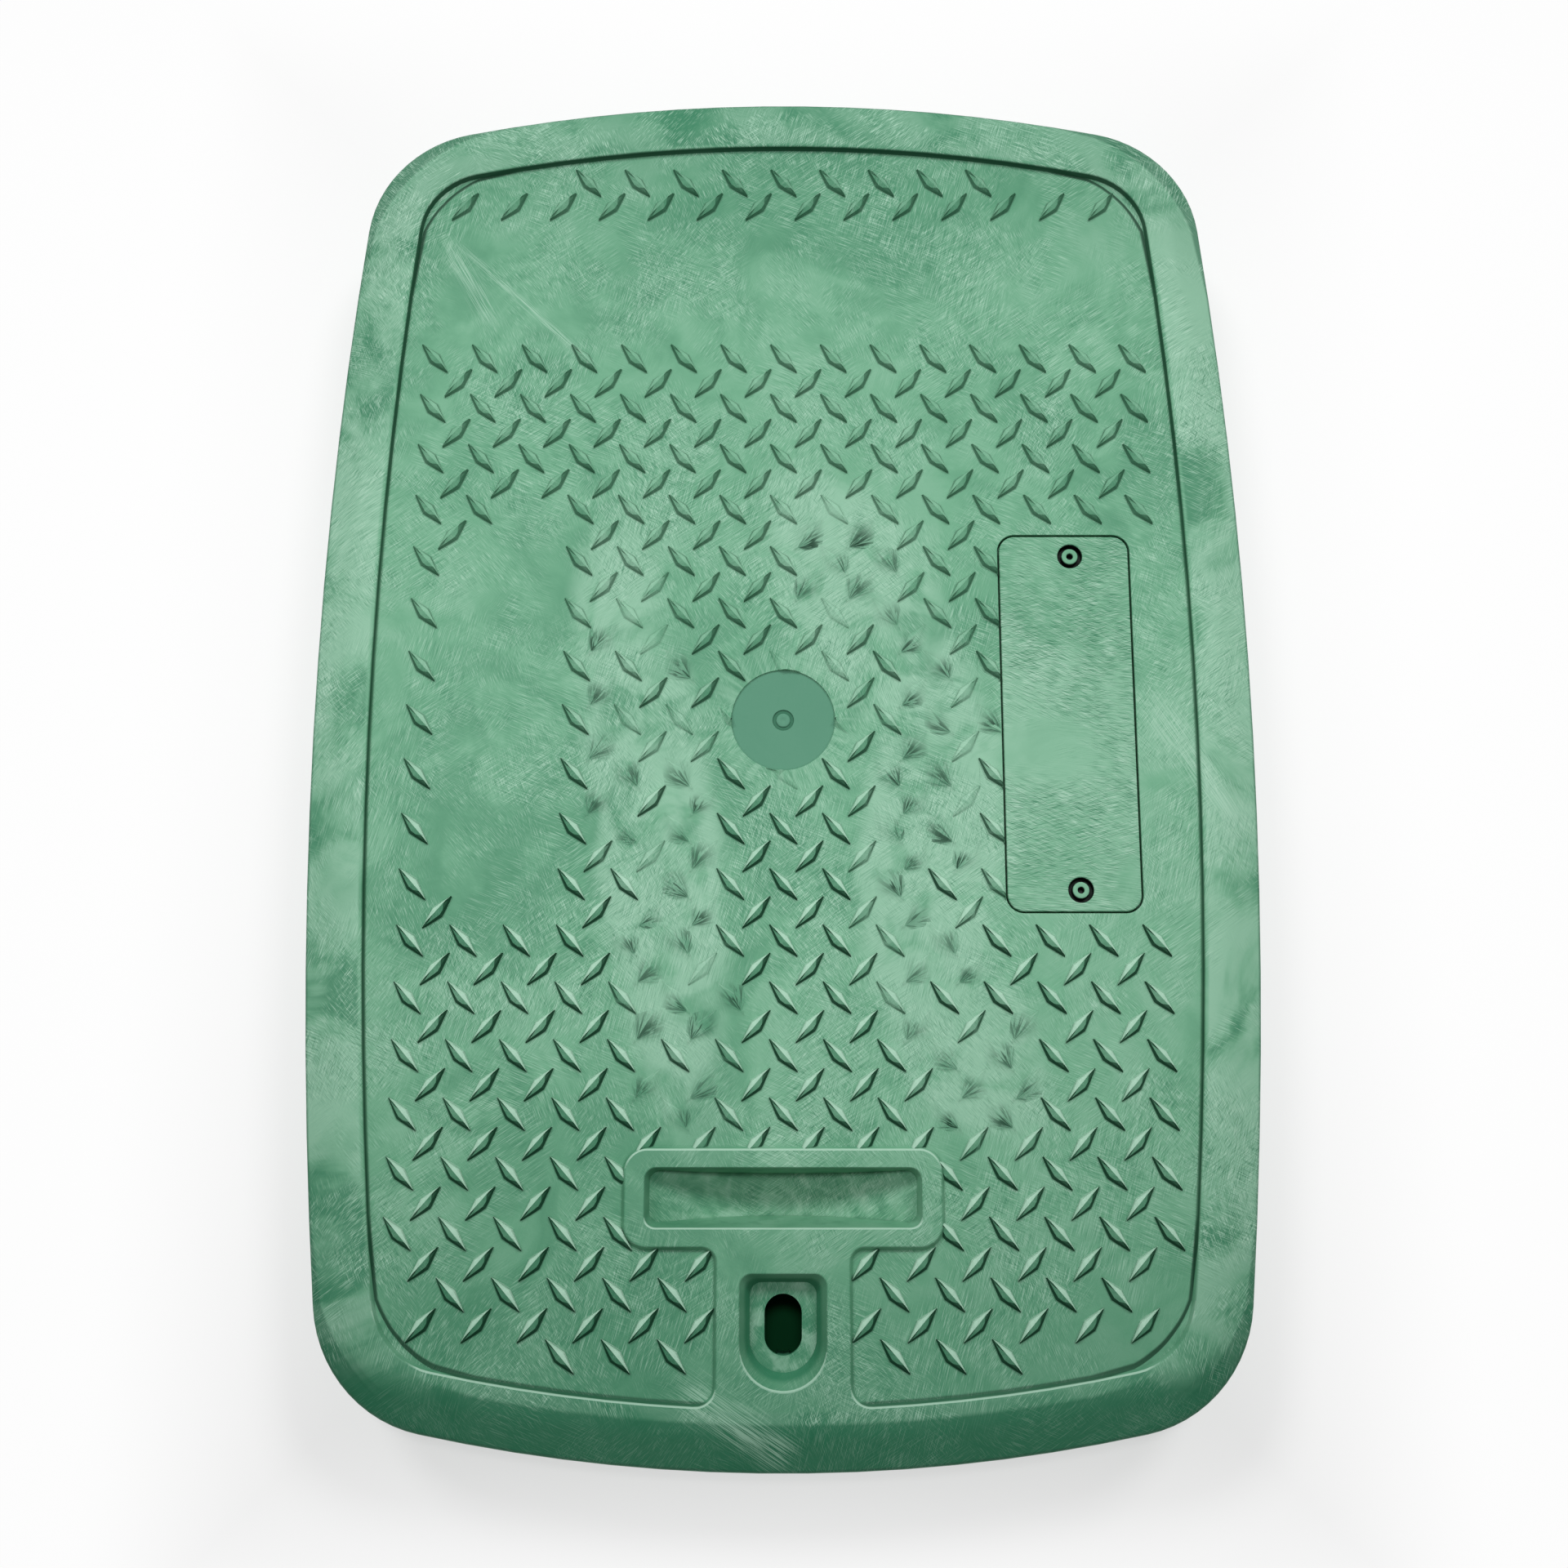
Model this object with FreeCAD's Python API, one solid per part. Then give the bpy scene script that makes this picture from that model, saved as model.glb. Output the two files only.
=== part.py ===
import FreeCAD
import Part
import math
import os
from FreeCAD import Vector

# Valve box cover: a moulded lid with a raised tread, an inset marker plate and its two push-in pins.
# Millimetres. +Z is up, +Y points to the far end, away from the pull slot. The origin is on the floor,
# under the middle of the cover, which stands on its skirt.

# Plan of the cover: bowed sides and ends joined by corner arcs
cover_length = 440.0
cover_width = 295.0
side_bow_radius = 1630.0
end_bow_radius = 525.0
corner_radius = 41.0

# Heights, from the lower edge of the skirt upwards
skirt_depth = 24.0
edge_height = 7.5
bevel_rise = 4.5
field_drop = 2.0
field_thickness = 6.5

# Rim: an upright edge, a bevel and a flat band round the sunken field
bevel_width = 11.4
rim_width = 18.0
wall_draft = 0.9

# Underside: the seat that lies on the box, the skirt inside it and the rib grid
seat_width = 14.0
skirt_thickness = 5.0
rib_cells_across = 6
rib_cells_along = 9
rib_width = 4.2
rib_setback = 3.0
weld = 1.0

# T-shaped pad, level with the rim: lands round the pull slot and beside the bolt recess
pad_land = 5.4
pad_end_land = 5.8
pad_stem_land = 6.6
pad_corner_radius = 6.5
pad_inner_radius = 4.5
pad_root_radius = 6.0

# Pull slot in the head of the pad, deepest in its middle
slot_length = 82.0
slot_width = 17.4
slot_setback = 77.8
slot_corner_radius = 3.4
slot_depth = 14.0
slot_end_depth = 6.0
slot_far_draft = 1.2
slot_near_draft = 3.8
slot_end_draft = 3.6
tub_wall = 4.5

# Recess for the bolt's head, with a round near end, and the oblong bolt slot in its floor
recess_width = 25.7
recess_length = 33.1
recess_setback = 22.9
recess_corner_radius = 3.6
recess_depth = 7.0
recess_side_draft = 3.0
recess_far_draft = 2.4
recess_near_draft = 5.0
recess_floor = 5.0
bolt_slot_width = 11.0
bolt_slot_length = 17.6
bolt_slot_inset = 18.6

# Gate disc, the smooth round in the middle of the tread
gate_offset = 4.0
disc_radius = 16.2
disc_depth = 0.5
gate_well_radius = 3.3
gate_well_depth = 0.4

# Marker plate, flush in its pocket, and the pins that hold it
plate_length = 121.0
plate_width = 41.0
plate_thickness = 5.0
plate_corner_radius = 5.0
plate_edge_setback = 58.2
plate_gap = 0.6
pocket_floor = 4.5
pin_end_distance = 6.6
pin_side_shift = 2.0
pin_well_radius = 3.9
pin_web = 1.4
pin_head_radius = 2.55
pin_head_height = 3.4
pin_shank_radius = 1.9
pin_clearance = 0.1
pin_reach = 3.0
pin_drive_radius = 1.05
pin_drive_depth = 4.0

# Tread: rhombic pyramids that lean one way on whole rows and columns, the other way on the half ones
tread_pitch_x = 16.25
tread_pitch_y = 17.4
mark_length = 12.7
mark_width = 4.2
mark_height = 1.6
mark_lean = 49.0
mark_root = 0.3
tread_margin = 8.4
far_row_setback = 31.0
far_strip_setback = 92.0
side_strip_outer = 109.0
side_strip_step = 90.5
side_strip_inner = 70.0
side_strip_short = 55.0
side_strip_far = 72.0
side_strip_near = 66.0
plate_clear = 5.0

# Levels and places worked out from the sizes above
up = Vector(0, 0, 1)
touching = 1e-6
seat_z = skirt_depth
edge_z = seat_z + edge_height
rim_z = edge_z + bevel_rise
field_z = rim_z - field_drop
underside_z = field_z - field_thickness
over_z = rim_z + weld
far_end = cover_length / 2
near_end = -cover_length / 2
slot_y = near_end + slot_setback
recess_near = near_end + recess_setback
recess_far = recess_near + recess_length
bolt_y = recess_near + bolt_slot_inset
pad_half_head = slot_length / 2 + pad_end_land
pad_half_stem = recess_width / 2 + pad_stem_land
pad_far = slot_y + slot_width / 2 + pad_land
pad_near = slot_y - slot_width / 2 - pad_land
plate_x = cover_width / 2 - plate_edge_setback
pocket_z = field_z - plate_thickness
pocket_under_z = pocket_z - pocket_floor
pin_places = [
    Vector(plate_x + pin_side_shift, gate_offset + side * (plate_length / 2 - pin_end_distance), 0)
    for side in (1, -1)
]


# Wires and prisms


def rounded_edges(corners, closed, place):
    """Edges through corners given as (a, b, radius), each corner rounded by its radius.

    place turns a pair (a, b) into a point in space.
    """
    count = len(corners)
    stops = []
    for index, (a, b, radius) in enumerate(corners):
        here = Vector(a, b, 0)
        if radius == 0 or (not closed and index in (0, count - 1)):
            stops.append((here, here, here))
            continue
        before = (Vector(*corners[index - 1][:2]) - here).normalize()
        after = (Vector(*corners[(index + 1) % count][:2]) - here).normalize()
        half_turn = before.getAngle(after) / 2
        reach = radius / math.tan(half_turn)
        middle = (before + after).normalize() * (radius / math.sin(half_turn) - radius)
        stops.append((here + before * reach, here + middle, here + after * reach))
    edges = []
    for index, (start, middle, end) in enumerate(stops):
        if not start.isEqual(end, touching):
            points = [place(point.x, point.y) for point in (start, middle, end)]
            edges.append(Part.Arc(*points).toShape())
        if closed or index < count - 1:
            next_start = stops[(index + 1) % count][0]
            if not end.isEqual(next_start, touching):
                line = Part.LineSegment(place(end.x, end.y), place(next_start.x, next_start.y))
                edges.append(line.toShape())
    return edges


def flat_wire(corners, z):
    """A closed rounded wire at height z."""
    return Part.Wire(rounded_edges(corners, True, lambda x, y: Vector(x, y, z)))


def prism(wire, height):
    """The solid that a closed flat wire sweeps going straight up."""
    return Part.Face(wire).extrude(up * height)


def tapered(lower, upper):
    """The solid between two flat wires of the same make, with straight walls."""
    return Part.makeLoft([lower, upper], True, True)


def rectangle(x, y, width, depth, radius):
    """Corners of a rectangle centred at x, y."""
    return [
        (x + width / 2, y - depth / 2, radius),
        (x + width / 2, y + depth / 2, radius),
        (x - width / 2, y + depth / 2, radius),
        (x - width / 2, y - depth / 2, radius),
    ]


# Outline of the cover


def outline_arcs():
    """The eight arcs of the outline, anticlockwise, as (centre, radius, first angle, last angle)."""
    side_x = cover_width / 2 - side_bow_radius
    end_y = cover_length / 2 - end_bow_radius
    side_reach = side_bow_radius - corner_radius
    end_reach = end_bow_radius - corner_radius
    span = math.hypot(side_x, end_y)
    along = (side_reach**2 - end_reach**2 + span**2) / (2 * span)
    across = math.sqrt(side_reach**2 - along**2)
    corner_x = side_x - along * side_x / span - across * end_y / span
    corner_y = along * end_y / span - across * side_x / span
    low = math.atan2(corner_y, corner_x - side_x)
    high = math.atan2(corner_y - end_y, corner_x)
    turn = math.pi
    return [
        (Vector(side_x, 0, 0), side_bow_radius, -low, low),
        (Vector(corner_x, corner_y, 0), corner_radius, low, high),
        (Vector(0, end_y, 0), end_bow_radius, high, turn - high),
        (Vector(-corner_x, corner_y, 0), corner_radius, turn - high, turn - low),
        (Vector(-side_x, 0, 0), side_bow_radius, turn - low, turn + low),
        (Vector(-corner_x, -corner_y, 0), corner_radius, turn + low, turn + high),
        (Vector(0, -end_y, 0), end_bow_radius, turn + high, 2 * turn - high),
        (Vector(corner_x, -corner_y, 0), corner_radius, 2 * turn - high, 2 * turn - low),
    ]


def outline(inset, z):
    """The outline drawn inwards by inset, as a closed wire at height z."""
    edges = []
    for centre, radius, first, last in outline_arcs():
        circle = Part.Circle(centre + up * z, up, radius - inset)
        edges.append(Part.ArcOfCircle(circle, first, last).toShape())
    return Part.Wire(edges)


def slab(inset, low_z, high_z):
    """A flat slab with the cover's outline drawn inwards by inset."""
    return prism(outline(inset, low_z), high_z - low_z)


def room_inside(x, y):
    """Distance from a point to the outline, positive inside it."""
    rooms = []
    for centre, radius, first, last in outline_arcs():
        offset = Vector(x, y, 0) - centre
        angle = math.atan2(offset.y, offset.x)
        if any(first <= angle + lap * 2 * math.pi <= last for lap in (0, 1)):
            rooms.append(radius - offset.Length)
    return min(rooms, default=0.0)


# Cover


def rim_body():
    """The solid lid above the seat: its edge profile turned about each arc of the outline."""
    profile = [(rim_width, rim_z), (bevel_width, rim_z), (0, edge_z), (0, seat_z)]
    faces = [Part.Face(outline(rim_width, rim_z)), Part.Face(outline(0, seat_z))]
    for centre, radius, first, last in outline_arcs():
        spoke = Vector(math.cos(first), math.sin(first), 0)
        section = Part.makePolygon([centre + spoke * (radius - inset) + up * z for inset, z in profile])
        faces += section.revolve(centre, up, math.degrees(last - first)).Faces
    shell = Part.makeShell(faces)
    shell.sewShape()
    return Part.makeSolid(shell)


def skirt():
    """The upright wall that drops into the box."""
    return slab(seat_width, 0, seat_z + weld).cut(slab(seat_width + skirt_thickness, 0, seat_z + weld))


def rib_grid():
    """Ribs both ways that part the space inside the skirt into even cells, trimmed into the skirt's wall."""
    walls = 2 * (seat_width + skirt_thickness)
    pitch_x = (cover_width - walls) / rib_cells_across
    pitch_y = (cover_length - walls) / rib_cells_along
    depth = underside_z + weld - rib_setback
    ribs = []
    for index in range(1, rib_cells_across):
        x = (index - rib_cells_across / 2) * pitch_x - rib_width / 2
        ribs.append(Part.makeBox(rib_width, cover_length, depth, Vector(x, -cover_length / 2, rib_setback)))
    for index in range(1, rib_cells_along):
        y = (index - rib_cells_along / 2) * pitch_y - rib_width / 2
        ribs.append(Part.makeBox(cover_width, rib_width, depth, Vector(-cover_width / 2, y, rib_setback)))
    grid = ribs[0].multiFuse(ribs[1:])
    return grid.common(slab(seat_width + skirt_thickness / 2, 0, over_z))


def hollow_wire(spread, z):
    """The edge of the sunken field at height z, its walls moved in by spread.

    It follows the outline inside the rim and goes round the T-shaped pad, whose stem flares into the near rim.
    """
    *before_near, near_arc, last_corner = outline_arcs()
    near_centre, near_radius, near_first, near_last = near_arc
    near_radius -= rim_width + spread
    root = pad_root_radius - spread
    head = pad_half_head + spread
    stem = pad_half_stem + spread
    head_far = pad_far + spread
    head_near = pad_near - spread
    outer = pad_corner_radius + spread
    inner = pad_inner_radius - spread
    drop = math.sqrt((near_radius - root) ** 2 - (stem + root) ** 2)
    root_centre = near_centre + Vector(stem + root, -drop, 0)
    swing = math.atan2(stem + root, drop)
    straight_down = 1.5 * math.pi
    level = up * z

    def arc(centre, radius, first, last):
        return Part.ArcOfCircle(Part.Circle(centre + level, up, radius), first, last).toShape()

    def root_arc(side):
        middle_angle = math.pi + (math.pi / 2 + swing) / 2
        points = [
            root_centre + Vector(root * math.cos(angle), root * math.sin(angle), 0)
            for angle in (math.pi, middle_angle, straight_down + swing)
        ]
        return Part.Arc(*[Vector(side * point.x, point.y, z) for point in points]).toShape()

    turns = [
        (-stem, root_centre.y, 0),
        (-stem, head_near, inner),
        (-head, head_near, outer),
        (-head, head_far, outer),
        (head, head_far, outer),
        (head, head_near, outer),
        (stem, head_near, inner),
        (stem, root_centre.y, 0),
    ]
    edges = [arc(near_centre, near_radius, straight_down + swing, near_last)]
    for centre, radius, first, last in [last_corner] + before_near:
        edges.append(arc(centre, radius - rim_width - spread, first, last))
    edges.append(arc(near_centre, near_radius, near_first, straight_down - swing))
    edges.append(root_arc(-1))
    edges += rounded_edges(turns, False, lambda x, y: Vector(x, y, z))
    edges.append(root_arc(1))
    return Part.Wire(edges)


def field_hollow():
    """What is sunk inside the rim and round the pad, with drafted walls."""
    over_spread = wall_draft * (rim_z - over_z) / field_drop
    return tapered(hollow_wire(wall_draft, field_z), hollow_wire(over_spread, over_z))


def slot_bowl(wall):
    """A lying cylinder whose lower side is the pull slot's round floor, or the tub's when a wall is added."""
    half_span = slot_length / 2 - slot_end_draft
    sag = slot_depth - slot_end_depth
    radius = (half_span**2 + sag**2) / (2 * sag)
    middle = Vector(0, slot_y - slot_width, rim_z - slot_depth + radius)
    return Part.makeCylinder(radius + wall, 2 * slot_width, middle, Vector(0, 1, 0))


def pull_slot():
    """The space that fingers reach into, drafted on all sides and closed below by its round floor."""
    rise = (over_z - rim_z + slot_depth) / slot_depth
    low_width = slot_width - slot_far_draft - slot_near_draft
    low_length = slot_length - 2 * slot_end_draft
    low_y = slot_y + (slot_near_draft - slot_far_draft) / 2
    high_width = low_width + rise * (slot_width - low_width)
    high_length = low_length + rise * (slot_length - low_length)
    high_y = low_y + rise * (slot_y - low_y)
    low = rectangle(0, low_y, low_length, low_width, slot_corner_radius)
    high = rectangle(0, high_y, high_length, high_width, slot_corner_radius)
    well = tapered(flat_wire(low, rim_z - slot_depth), flat_wire(high, over_z))
    return well.common(slot_bowl(0))


def slot_tub():
    """The tub that closes the pull slot below the field."""
    low_z = rim_z - slot_depth - tub_wall
    corners = rectangle(0, slot_y, slot_length + tub_wall, slot_width + tub_wall, 0)
    return prism(flat_wire(corners, low_z), underside_z + weld - low_z).common(slot_bowl(tub_wall))


def recess_wire(half_width, far_y, near_y, z):
    """A wire with a straight far side, rounded corners and a half-round near end."""
    turn_y = near_y + half_width
    corner = recess_corner_radius
    turns = [
        (half_width, turn_y, 0),
        (half_width, far_y, corner),
        (-half_width, far_y, corner),
        (-half_width, turn_y, 0),
    ]
    edges = rounded_edges(turns, False, lambda x, y: Vector(x, y, z))
    end = Part.Arc(Vector(-half_width, turn_y, z), Vector(0, near_y, z), Vector(half_width, turn_y, z))
    return Part.Wire(edges + [end.toShape()])


def bolt_recess():
    """The space for the bolt's head, its walls drafted down to the recess floor."""
    rise = (over_z - rim_z + recess_depth) / recess_depth
    half = recess_width / 2 - recess_side_draft
    far_y = recess_far - recess_far_draft
    near_y = recess_near + recess_near_draft
    lower = recess_wire(half, far_y, near_y, rim_z - recess_depth)
    upper = recess_wire(
        half + rise * recess_side_draft, far_y + rise * recess_far_draft, near_y - rise * recess_near_draft, over_z
    )
    return tapered(lower, upper)


def recess_backing():
    """The thickened floor under the bolt recess."""
    corner = Vector(-recess_width / 2, recess_near, rim_z - recess_depth - recess_floor)
    return Part.makeBox(recess_width, recess_length, recess_floor, corner)


def bolt_slot():
    """The oblong that the bolt goes through, half round at both ends."""
    corners = rectangle(0, bolt_y, bolt_slot_width, bolt_slot_length, bolt_slot_width / 2)
    return prism(flat_wire(corners, 0), over_z)


def plate_prism(spread, low_z, high_z):
    """A block with the marker plate's outline, moved out by spread."""
    width = plate_width + 2 * spread
    length = plate_length + 2 * spread
    corners = rectangle(plate_x, gate_offset, width, length, plate_corner_radius + spread)
    return prism(flat_wire(corners, low_z), high_z - low_z)


def mark_shape(x, y, lean):
    """One tread mark: a four-sided pyramid on a rhombus, its foot carried a little below the field."""
    foot_share = 1 + mark_root / mark_height
    along = Vector(math.cos(math.radians(lean)), math.sin(math.radians(lean)), 0)
    across = up.cross(along)
    centre = Vector(x, y, field_z - mark_root)
    tip = along * (mark_length / 2 * foot_share)
    side = across * (mark_width / 2 * foot_share)
    foot = [centre + tip, centre + side, centre - tip, centre - side]
    top = Vector(x, y, field_z + mark_height)
    faces = [Part.Face(Part.makePolygon(foot + foot[:1]))]
    for index in range(4):
        start = foot[index]
        faces.append(Part.Face(Part.makePolygon([start, foot[(index + 1) % 4], top, start])))
    return Part.makeSolid(Part.makeShell(faces))


def holds_mark(x, y):
    """Whether the tread has a mark here: on the field, and off the pad, disc, plate and smooth strips."""
    rise = y - gate_offset
    if room_inside(x, y) < rim_width + tread_margin:
        return False
    on_head = abs(x) < pad_half_head and pad_near < y < pad_far
    on_stem = abs(x) < pad_half_stem and y < pad_far
    on_disc = math.hypot(x, rise) < disc_radius
    beside_plate = x > plate_x - plate_width / 2 - plate_clear / 2
    beside_plate = beside_plate and abs(rise) < plate_length / 2 + plate_clear
    on_outer_strip = -side_strip_outer < x <= -side_strip_step and abs(rise) < side_strip_short
    on_inner_strip = -side_strip_step < x < -side_strip_inner and -side_strip_near < rise < side_strip_far
    return not (on_head or on_stem or on_disc or beside_plate or on_outer_strip or on_inner_strip)


def tread():
    """Every tread mark, row by row, with two rows of its own at the far end."""
    rows = int(cover_length / tread_pitch_y)
    columns = int(cover_width / tread_pitch_x)
    last_row_y = far_end - far_strip_setback
    marks = []
    for half in (0, 0.5):
        lean = mark_lean if half else -mark_lean
        far_y = far_end - far_row_setback - half * tread_pitch_y
        row_places = [gate_offset + (row + half) * tread_pitch_y for row in range(-rows, rows + 1)]
        row_places = [y for y in row_places if y < last_row_y] + [far_y]
        for y in row_places:
            for column in range(-columns, columns + 1):
                x = (column + half) * tread_pitch_x
                if holds_mark(x, y):
                    marks.append(mark_shape(x, y, lean))
    return marks


def gate_disc():
    """The shallow round sunk for the gate, with a small well in its middle."""
    floor_z = field_z - disc_depth
    middle = Vector(0, gate_offset, floor_z)
    disc = Part.makeCylinder(disc_radius, over_z - floor_z, middle)
    well = Part.makeCylinder(gate_well_radius, gate_well_depth, middle - up * gate_well_depth)
    return disc.fuse(well)


def pin_bore(place):
    """The hole for one pin, through the pocket floor and clear of what stands under it."""
    depth = pocket_floor + pin_reach + weld
    return Part.makeCylinder(pin_shank_radius + pin_clearance, depth, place + up * (pocket_z - depth))


def cover():
    """The whole moulding."""
    body = rim_body()
    body = body.cut(slab(seat_width + skirt_thickness, seat_z - weld, underside_z))
    pocket = plate_prism(plate_gap + pocket_floor, pocket_under_z, underside_z + weld)
    body = body.multiFuse([skirt(), rib_grid(), slot_tub(), recess_backing(), pocket])
    body = body.cut(field_hollow())
    body = body.fuse(Part.makeCompound(tread()))
    hollows = [gate_disc(), plate_prism(plate_gap, pocket_z, over_z)]
    hollows += [pull_slot(), bolt_recess(), bolt_slot()]
    hollows += [pin_bore(place) for place in pin_places]
    return body.cut(hollows).removeSplitter()


# Marker plate and its pins


def marker_plate():
    """The flush plate, with a stepped well through it for each pin."""
    plate = plate_prism(0, pocket_z, field_z)
    for place in pin_places:
        well = Part.makeCylinder(pin_well_radius, plate_thickness, place + up * (pocket_z + pin_web))
        hole = Part.makeCylinder(pin_shank_radius + pin_clearance, plate_thickness, place + up * pocket_z)
        plate = plate.cut(well.fuse(hole))
    return plate


def push_pin(place):
    """One pin: a head with a blind drive hole and a shank pushed through the pocket floor."""
    seat = pocket_z + pin_web
    top = seat + pin_head_height
    tip = pocket_under_z - pin_reach
    head = Part.makeCylinder(pin_head_radius, pin_head_height, place + up * seat)
    shank = Part.makeCylinder(pin_shank_radius, seat - tip, place + up * tip)
    drive = Part.makeCylinder(pin_drive_radius, pin_drive_depth, place + up * (top - pin_drive_depth))
    return head.fuse(shank).cut(drive)


def plate_pins():
    """Both pins, as separate solids of one group."""
    return Part.makeCompound([push_pin(place) for place in pin_places])


os.makedirs("parts", exist_ok=True)
for name, shape in (("cover", cover()), ("marker_plate", marker_plate()), ("plate_pins", plate_pins())):
    shape.exportStep("parts/" + name + ".step")
    print(name, len(shape.Solids), "solids", shape.isValid(), round(shape.Volume / 1000, 1), "cm3")
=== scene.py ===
import logging
import math
from dataclasses import dataclass
from enum import Enum
from typing import Any, Protocol, Union

import bpy
import numpy as np
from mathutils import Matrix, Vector


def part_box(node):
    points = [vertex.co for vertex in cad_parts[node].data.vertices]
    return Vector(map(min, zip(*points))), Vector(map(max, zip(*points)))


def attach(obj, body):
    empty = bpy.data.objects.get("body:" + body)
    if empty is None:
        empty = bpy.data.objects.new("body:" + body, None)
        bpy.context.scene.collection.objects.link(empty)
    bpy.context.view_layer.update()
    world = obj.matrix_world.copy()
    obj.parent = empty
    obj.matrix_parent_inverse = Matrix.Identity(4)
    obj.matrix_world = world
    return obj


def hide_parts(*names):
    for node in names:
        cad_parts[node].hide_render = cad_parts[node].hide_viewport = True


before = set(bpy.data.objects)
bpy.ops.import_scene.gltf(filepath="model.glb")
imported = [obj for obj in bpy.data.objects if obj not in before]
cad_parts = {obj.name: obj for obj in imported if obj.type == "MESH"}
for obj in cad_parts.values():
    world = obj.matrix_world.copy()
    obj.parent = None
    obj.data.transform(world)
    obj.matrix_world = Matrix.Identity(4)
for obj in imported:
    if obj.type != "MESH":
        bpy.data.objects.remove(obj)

log = logging.getLogger("valve_box_cover")

MM = 0.001
MICRONS_PER_METRE = 1e6
Array = np.ndarray
Colour = tuple[float, float, float]
Span = tuple[float, float]
Operand = Union["Sock", float]
WHITE: Colour = (1.0, 1.0, 1.0)


# Shader expressions


class Sock:
    """A shader socket that can stand in a Python expression; each operator adds a Math node."""

    def __init__(self, tree: "ShaderTree", socket: bpy.types.NodeSocket) -> None:
        """Wraps one output socket of a tree."""
        self.tree = tree
        self.socket = socket

    def math(self, operation: str, *operands: Operand) -> "Sock":
        """Adds a Math node.

        Args:
            operation: Blender's name for the operation.
            operands: Its values or sockets, in order.

        Returns:
            The node's result.
        """
        return self.tree.add("ShaderNodeMath", {"operation": operation}, dict(enumerate(operands)))

    def __add__(self, other: Operand) -> "Sock":
        """self + other."""
        return self.math("ADD", self, other)

    def __radd__(self, other: Operand) -> "Sock":
        """other + self."""
        return self.math("ADD", other, self)

    def __sub__(self, other: Operand) -> "Sock":
        """self - other."""
        return self.math("SUBTRACT", self, other)

    def __rsub__(self, other: Operand) -> "Sock":
        """other - self."""
        return self.math("SUBTRACT", other, self)

    def __mul__(self, other: Operand) -> "Sock":
        """self * other."""
        return self.math("MULTIPLY", self, other)

    def __rmul__(self, other: Operand) -> "Sock":
        """other * self."""
        return self.math("MULTIPLY", other, self)

    def __truediv__(self, other: Operand) -> "Sock":
        """self / other."""
        return self.math("DIVIDE", self, other)

    def __rtruediv__(self, other: Operand) -> "Sock":
        """other / self."""
        return self.math("DIVIDE", other, self)

    def __abs__(self) -> "Sock":
        """The size of self, without its sign."""
        return self.math("ABSOLUTE", self)

    def fract(self) -> "Sock":
        """What self has past its whole part."""
        return self.math("FRACT", self)

    def reach(self, other: "Sock") -> "Sock":
        """The distance from the origin to the point (self, other)."""
        return self.math("SQRT", self * self + other * other)

    def angle(self, other: "Sock") -> "Sock":
        """The angle from the first axis to the point (self, other), in radians."""
        return self.math("ARCTAN2", other, self)

    def most(self, *others: Operand) -> "Sock":
        """The largest of self and the others."""
        largest = self
        for other in others:
            largest = self.math("MAXIMUM", largest, other)
        return largest

    def step(self, low: float, high: float) -> "Sock":
        """Rises smoothly from 0 at low to 1 at high; falls when low is above high.

        Args:
            low: The value that gives 0.
            high: The value that gives 1.

        Returns:
            The eased share.
        """
        falling = low > high
        bounds = {"From Min": min(low, high), "From Max": max(low, high)}
        ends = {"To Min": 1.0 if falling else 0.0, "To Max": 0.0 if falling else 1.0}
        return self.tree.add(
            "ShaderNodeMapRange", {"interpolation_type": "SMOOTHSTEP"}, {"Value": self, **bounds, **ends}
        )


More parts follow.
